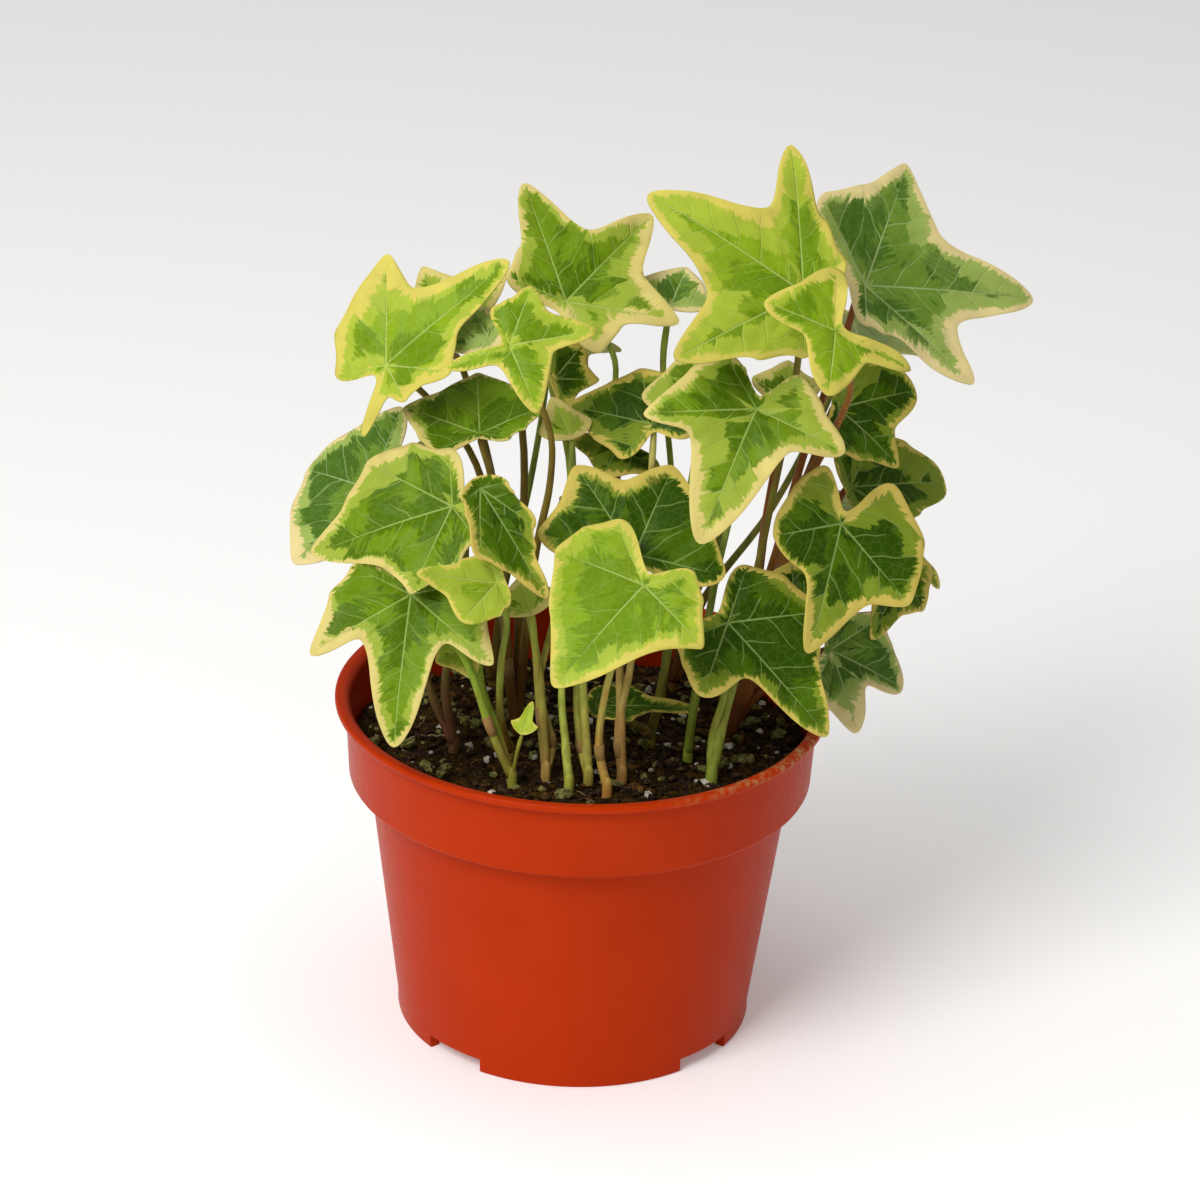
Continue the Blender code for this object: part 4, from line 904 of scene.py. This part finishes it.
def make_soil():
    floor = FOOT_HEIGHT + 0.4 + WALL + GAP
    wide, narrow = inner_radius(COLLAR_Z + 2) - 0.65, inner_radius(COLLAR_Z - 2) - 0.65
    bm = bmesh.new()
    bmesh.ops.create_circle(bm, cap_ends=True, cap_tris=True, segments=SOIL_SPOKES,
                            radius=wide / SOIL_RINGS)
    edges = grow_web(bm, SOIL_RINGS)
    for vert in bm.verts:
        vert.co.z = lumpy(vert.co.x, vert.co.y)
    before = wide
    base = inner_radius(floor)
    sides = ((wide, COLLAR_Z + 1.5), (wide - 1.0, COLLAR_Z + 0.4), (narrow - 0.1, COLLAR_Z - 1.6),
             (base - 1.6, floor + 1.0), (base - 2.6, floor))
    for radius, height in sides:
        outer, edges = grow(bm, edges)
        bmesh.ops.scale(bm, vec=(radius / before, radius / before, 1), verts=outer)
        for vert in outer:
            vert.co.z = height
        before = radius
    bmesh.ops.contextual_create(bm, geom=edges)
    bmesh.ops.recalc_face_normals(bm, faces=bm.faces)
    peat = peat_material("moist_peat", "1A0E00", "5A3E12")
    finish_piece("soil", mesh_from(bm, "soil"), [peat], ("soil",))


def peat_material(name, dark, light):
    """Milled peat, moist: a nearly black fibrous crumb without any gloss."""
    made, tree, shader = new_material(name, 0.92, 0.1)
    position = add(tree, "TexCoord", output="Object")
    crumbs = add(tree, "TexNoise", {"Vector": position, "Scale": 1 / (1.4 * MM), "Detail": 6.0,
                                    "Roughness": 0.75})
    share = add(tree, "MapRange", (crumbs, 0.46, 0.68))
    colour = add(tree, "Mix", {0: share, 6: dark, 7: light}, 2, data_type="RGBA")
    give(tree, shader, colour, crumbs, 0.8, 0.8)
    return made


def mottled_material(name, first, second, size, roughness):
    """A dry natural crumb in two tones."""
    made, tree, shader = new_material(name, roughness, 0.12)
    position = add(tree, "TexCoord", output="Object")
    mottle = add(tree, "TexNoise", {"Vector": position, "Scale": 1 / (size * MM), "Detail": 4.0})
    share = add(tree, "MapRange", (mottle, 0.35, 0.65))
    colour = add(tree, "Mix", {0: share, 6: first, 7: second}, 2, data_type="RGBA")
    give(tree, shader, colour, mottle, 0.3, 0.7)
    return made


def scatter(name, count, small, large, shape, sink, look, seed):
    """Strews irregular crumbs over the soil, as one piece."""
    rng = Random(seed)
    widest = inner_radius(POT_HEIGHT - 8) - 2.2
    bm = bmesh.new()
    for _ in range(count):
        radius, angle = widest * rng.random() ** 0.5, rng.uniform(0, 2 * pi)
        x, y = radius * cos(angle), radius * sin(angle)
        size = small + (large - small) * rng.random() ** 2
        scale = Vector([size * part * rng.uniform(0.75, 1.25) for part in shape])
        turn = Quaternion((0, 0, 1), rng.uniform(0, 2 * pi)) @ Quaternion((1, 0, 0), rng.uniform(-0.5, 0.5))
        matrix = (Matrix.Translation((x, y, lumpy(x, y) + scale.z * (1 - sink))) @ turn.to_matrix().to_4x4()
                  @ Matrix.Diagonal((*scale, 1)))
        made = bmesh.ops.create_icosphere(bm, subdivisions=1, radius=1.0)["verts"]
        for vert in made:
            vert.co *= rng.uniform(0.7, 1.2)
        bmesh.ops.transform(bm, matrix=matrix, verts=made)
    piece = finish_piece(name, mesh_from(bm, name), [look])
    piece.data.set_sharp_from_angle(angle=radians(50))


def root_threads():
    """Fine dry roots and fibres that lie on the peat."""
    rng = Random(5)
    bm = bmesh.new()
    for _ in range(20):
        radius, angle, heading = 44 * rng.random() ** 0.5, rng.uniform(0, 2 * pi), rng.uniform(0, 2 * pi)
        x, y = radius * cos(angle), radius * sin(angle)
        path = []
        for _ in range(9):
            if hypot(x, y) > 46:
                break
            path.append(Vector((x, y, lumpy(x, y) + rng.uniform(0.0, 0.3))))
            heading += rng.uniform(-0.6, 0.6)
            x, y = x + 1.1 * cos(heading), y + 1.1 * sin(heading)
        if len(path) > 3:
            sweep(bm, path, [rng.uniform(0.07, 0.14)] * len(path), 5)
    bmesh.ops.recalc_face_normals(bm, faces=bm.faces)
    finish_piece("root_threads", mesh_from(bm, "root_threads"),
                 [mottled_material("dry_root_fibre", "6A5838", "B0A27C", 2.0, 0.8)])


# ---- floor, light and camera ----

def make_stage():
    """A pale matt floor under a broad soft light from the upper left and a weaker one from above."""
    bm = bmesh.new()
    bmesh.ops.create_grid(bm, x_segments=1, y_segments=1, size=3000)
    floor = new_object("floor", mesh_from(bm, "floor"))
    paper, _, shader = new_material("matt_white_paper", 0.9, 0.2)
    shader.inputs["Base Color"].default_value = to_linear("F8F7F5")
    shader.inputs["Emission Color"].default_value = to_linear("FFFFFF")
    shader.inputs["Emission Strength"].default_value = 0.16
    floor.data.materials.append(paper)
    world = bpy.data.worlds.new("studio")
    world.use_nodes = True
    sky = world.node_tree.nodes["Background"]
    sky.inputs["Color"].default_value = (1.0, 1.0, 1.0, 1.0)
    sky.inputs["Strength"].default_value = 0.33
    bpy.context.scene.world = world
    for name, place, size, power in (("key", (-0.55, -0.75, 0.95), 0.6, 12.0),
                                     ("top", (-0.1, 0.0, 1.2), 0.8, 3.0)):
        lamp = bpy.data.lights.new(name, "AREA")
        lamp.size = size
        lamp.energy = power
        light = new_object(name, lamp)
        light.location = place
        light.rotation_euler = (Vector((0, 0, 0.1)) - Vector(place)).to_track_quat("-Z", "Y").to_euler()


def make_camera():
    """A long lens that looks down by 25 degrees and leans by two."""
    down, lean, distance = radians(24.9), radians(1.9), 965.6
    target = Vector((3.2, 0.0, 98.2)) + AXIS
    ahead = Vector((0, cos(down), -sin(down)))
    up = Vector((0, sin(down), cos(down)))
    right = Vector((1, 0, 0))
    across = right * cos(lean) + up * sin(lean)
    over = up * cos(lean) - right * sin(lean)
    lens = bpy.data.cameras.new("camera")
    lens.lens = 135
    lens.sensor_width = 36
    lens.clip_start = 0.05
    lens.clip_end = 20
    camera = new_object("camera", lens)
    camera.matrix_world = (Matrix.Translation((target - ahead * distance) * MM)
                           @ Matrix((across, over, -ahead)).transposed().to_4x4())
    bpy.context.scene.camera = camera


bpy.context.scene.view_settings.view_transform = "Standard"
make_camera()
make_stage()
make_pot()
make_soil()
scatter("peat_crumbs", 1300, 0.5, 1.5, (1.0, 0.8, 0.6), 0.5,
        peat_material("peat_crumb", "1C130C", "5A4228"), 11)
scatter("bark_bits", 150, 0.6, 2.2, (1.7, 0.7, 0.4), 0.5,
        mottled_material("pine_bark", "281606", "62421A", 1.5, 0.85), 12)
scatter("perlite", 110, 0.45, 1.5, (1.0, 0.85, 0.7), 0.7,
        mottled_material("expanded_perlite", "8E897A", "D8D3C4", 0.8, 0.9), 13)
scatter("moss_crumbs", 150, 0.8, 2.6, (1.0, 0.85, 0.6), 0.6,
        mottled_material("dried_moss", "2E2E0C", "86824A", 1.0, 0.95), 14)
root_threads()

SHEATH = sheath_material()
for stem_name, (stem_spot, stem_stalks) in STEMS.items():
    make_stem(stem_name, stem_spot, stem_stalks)

LEAF_LOOKS = {age: [leaf_material(f"ivy_leaf_{age}", age, False),
                    leaf_material(f"ivy_leaf_{age}_underside", age, True)] for age in AGES}
blanks = {}
for leaf_number, (leaf_name, leaf_design) in enumerate(LEAVES.items(), 1):
    lobe_count = len(leaf_design[3])
    if lobe_count not in blanks:
        blanks[lobe_count] = leaf_disc(2 * lobe_count * RIM_STEPS)
    make_leaf(leaf_name, leaf_number, blanks[lobe_count], leaf_design)
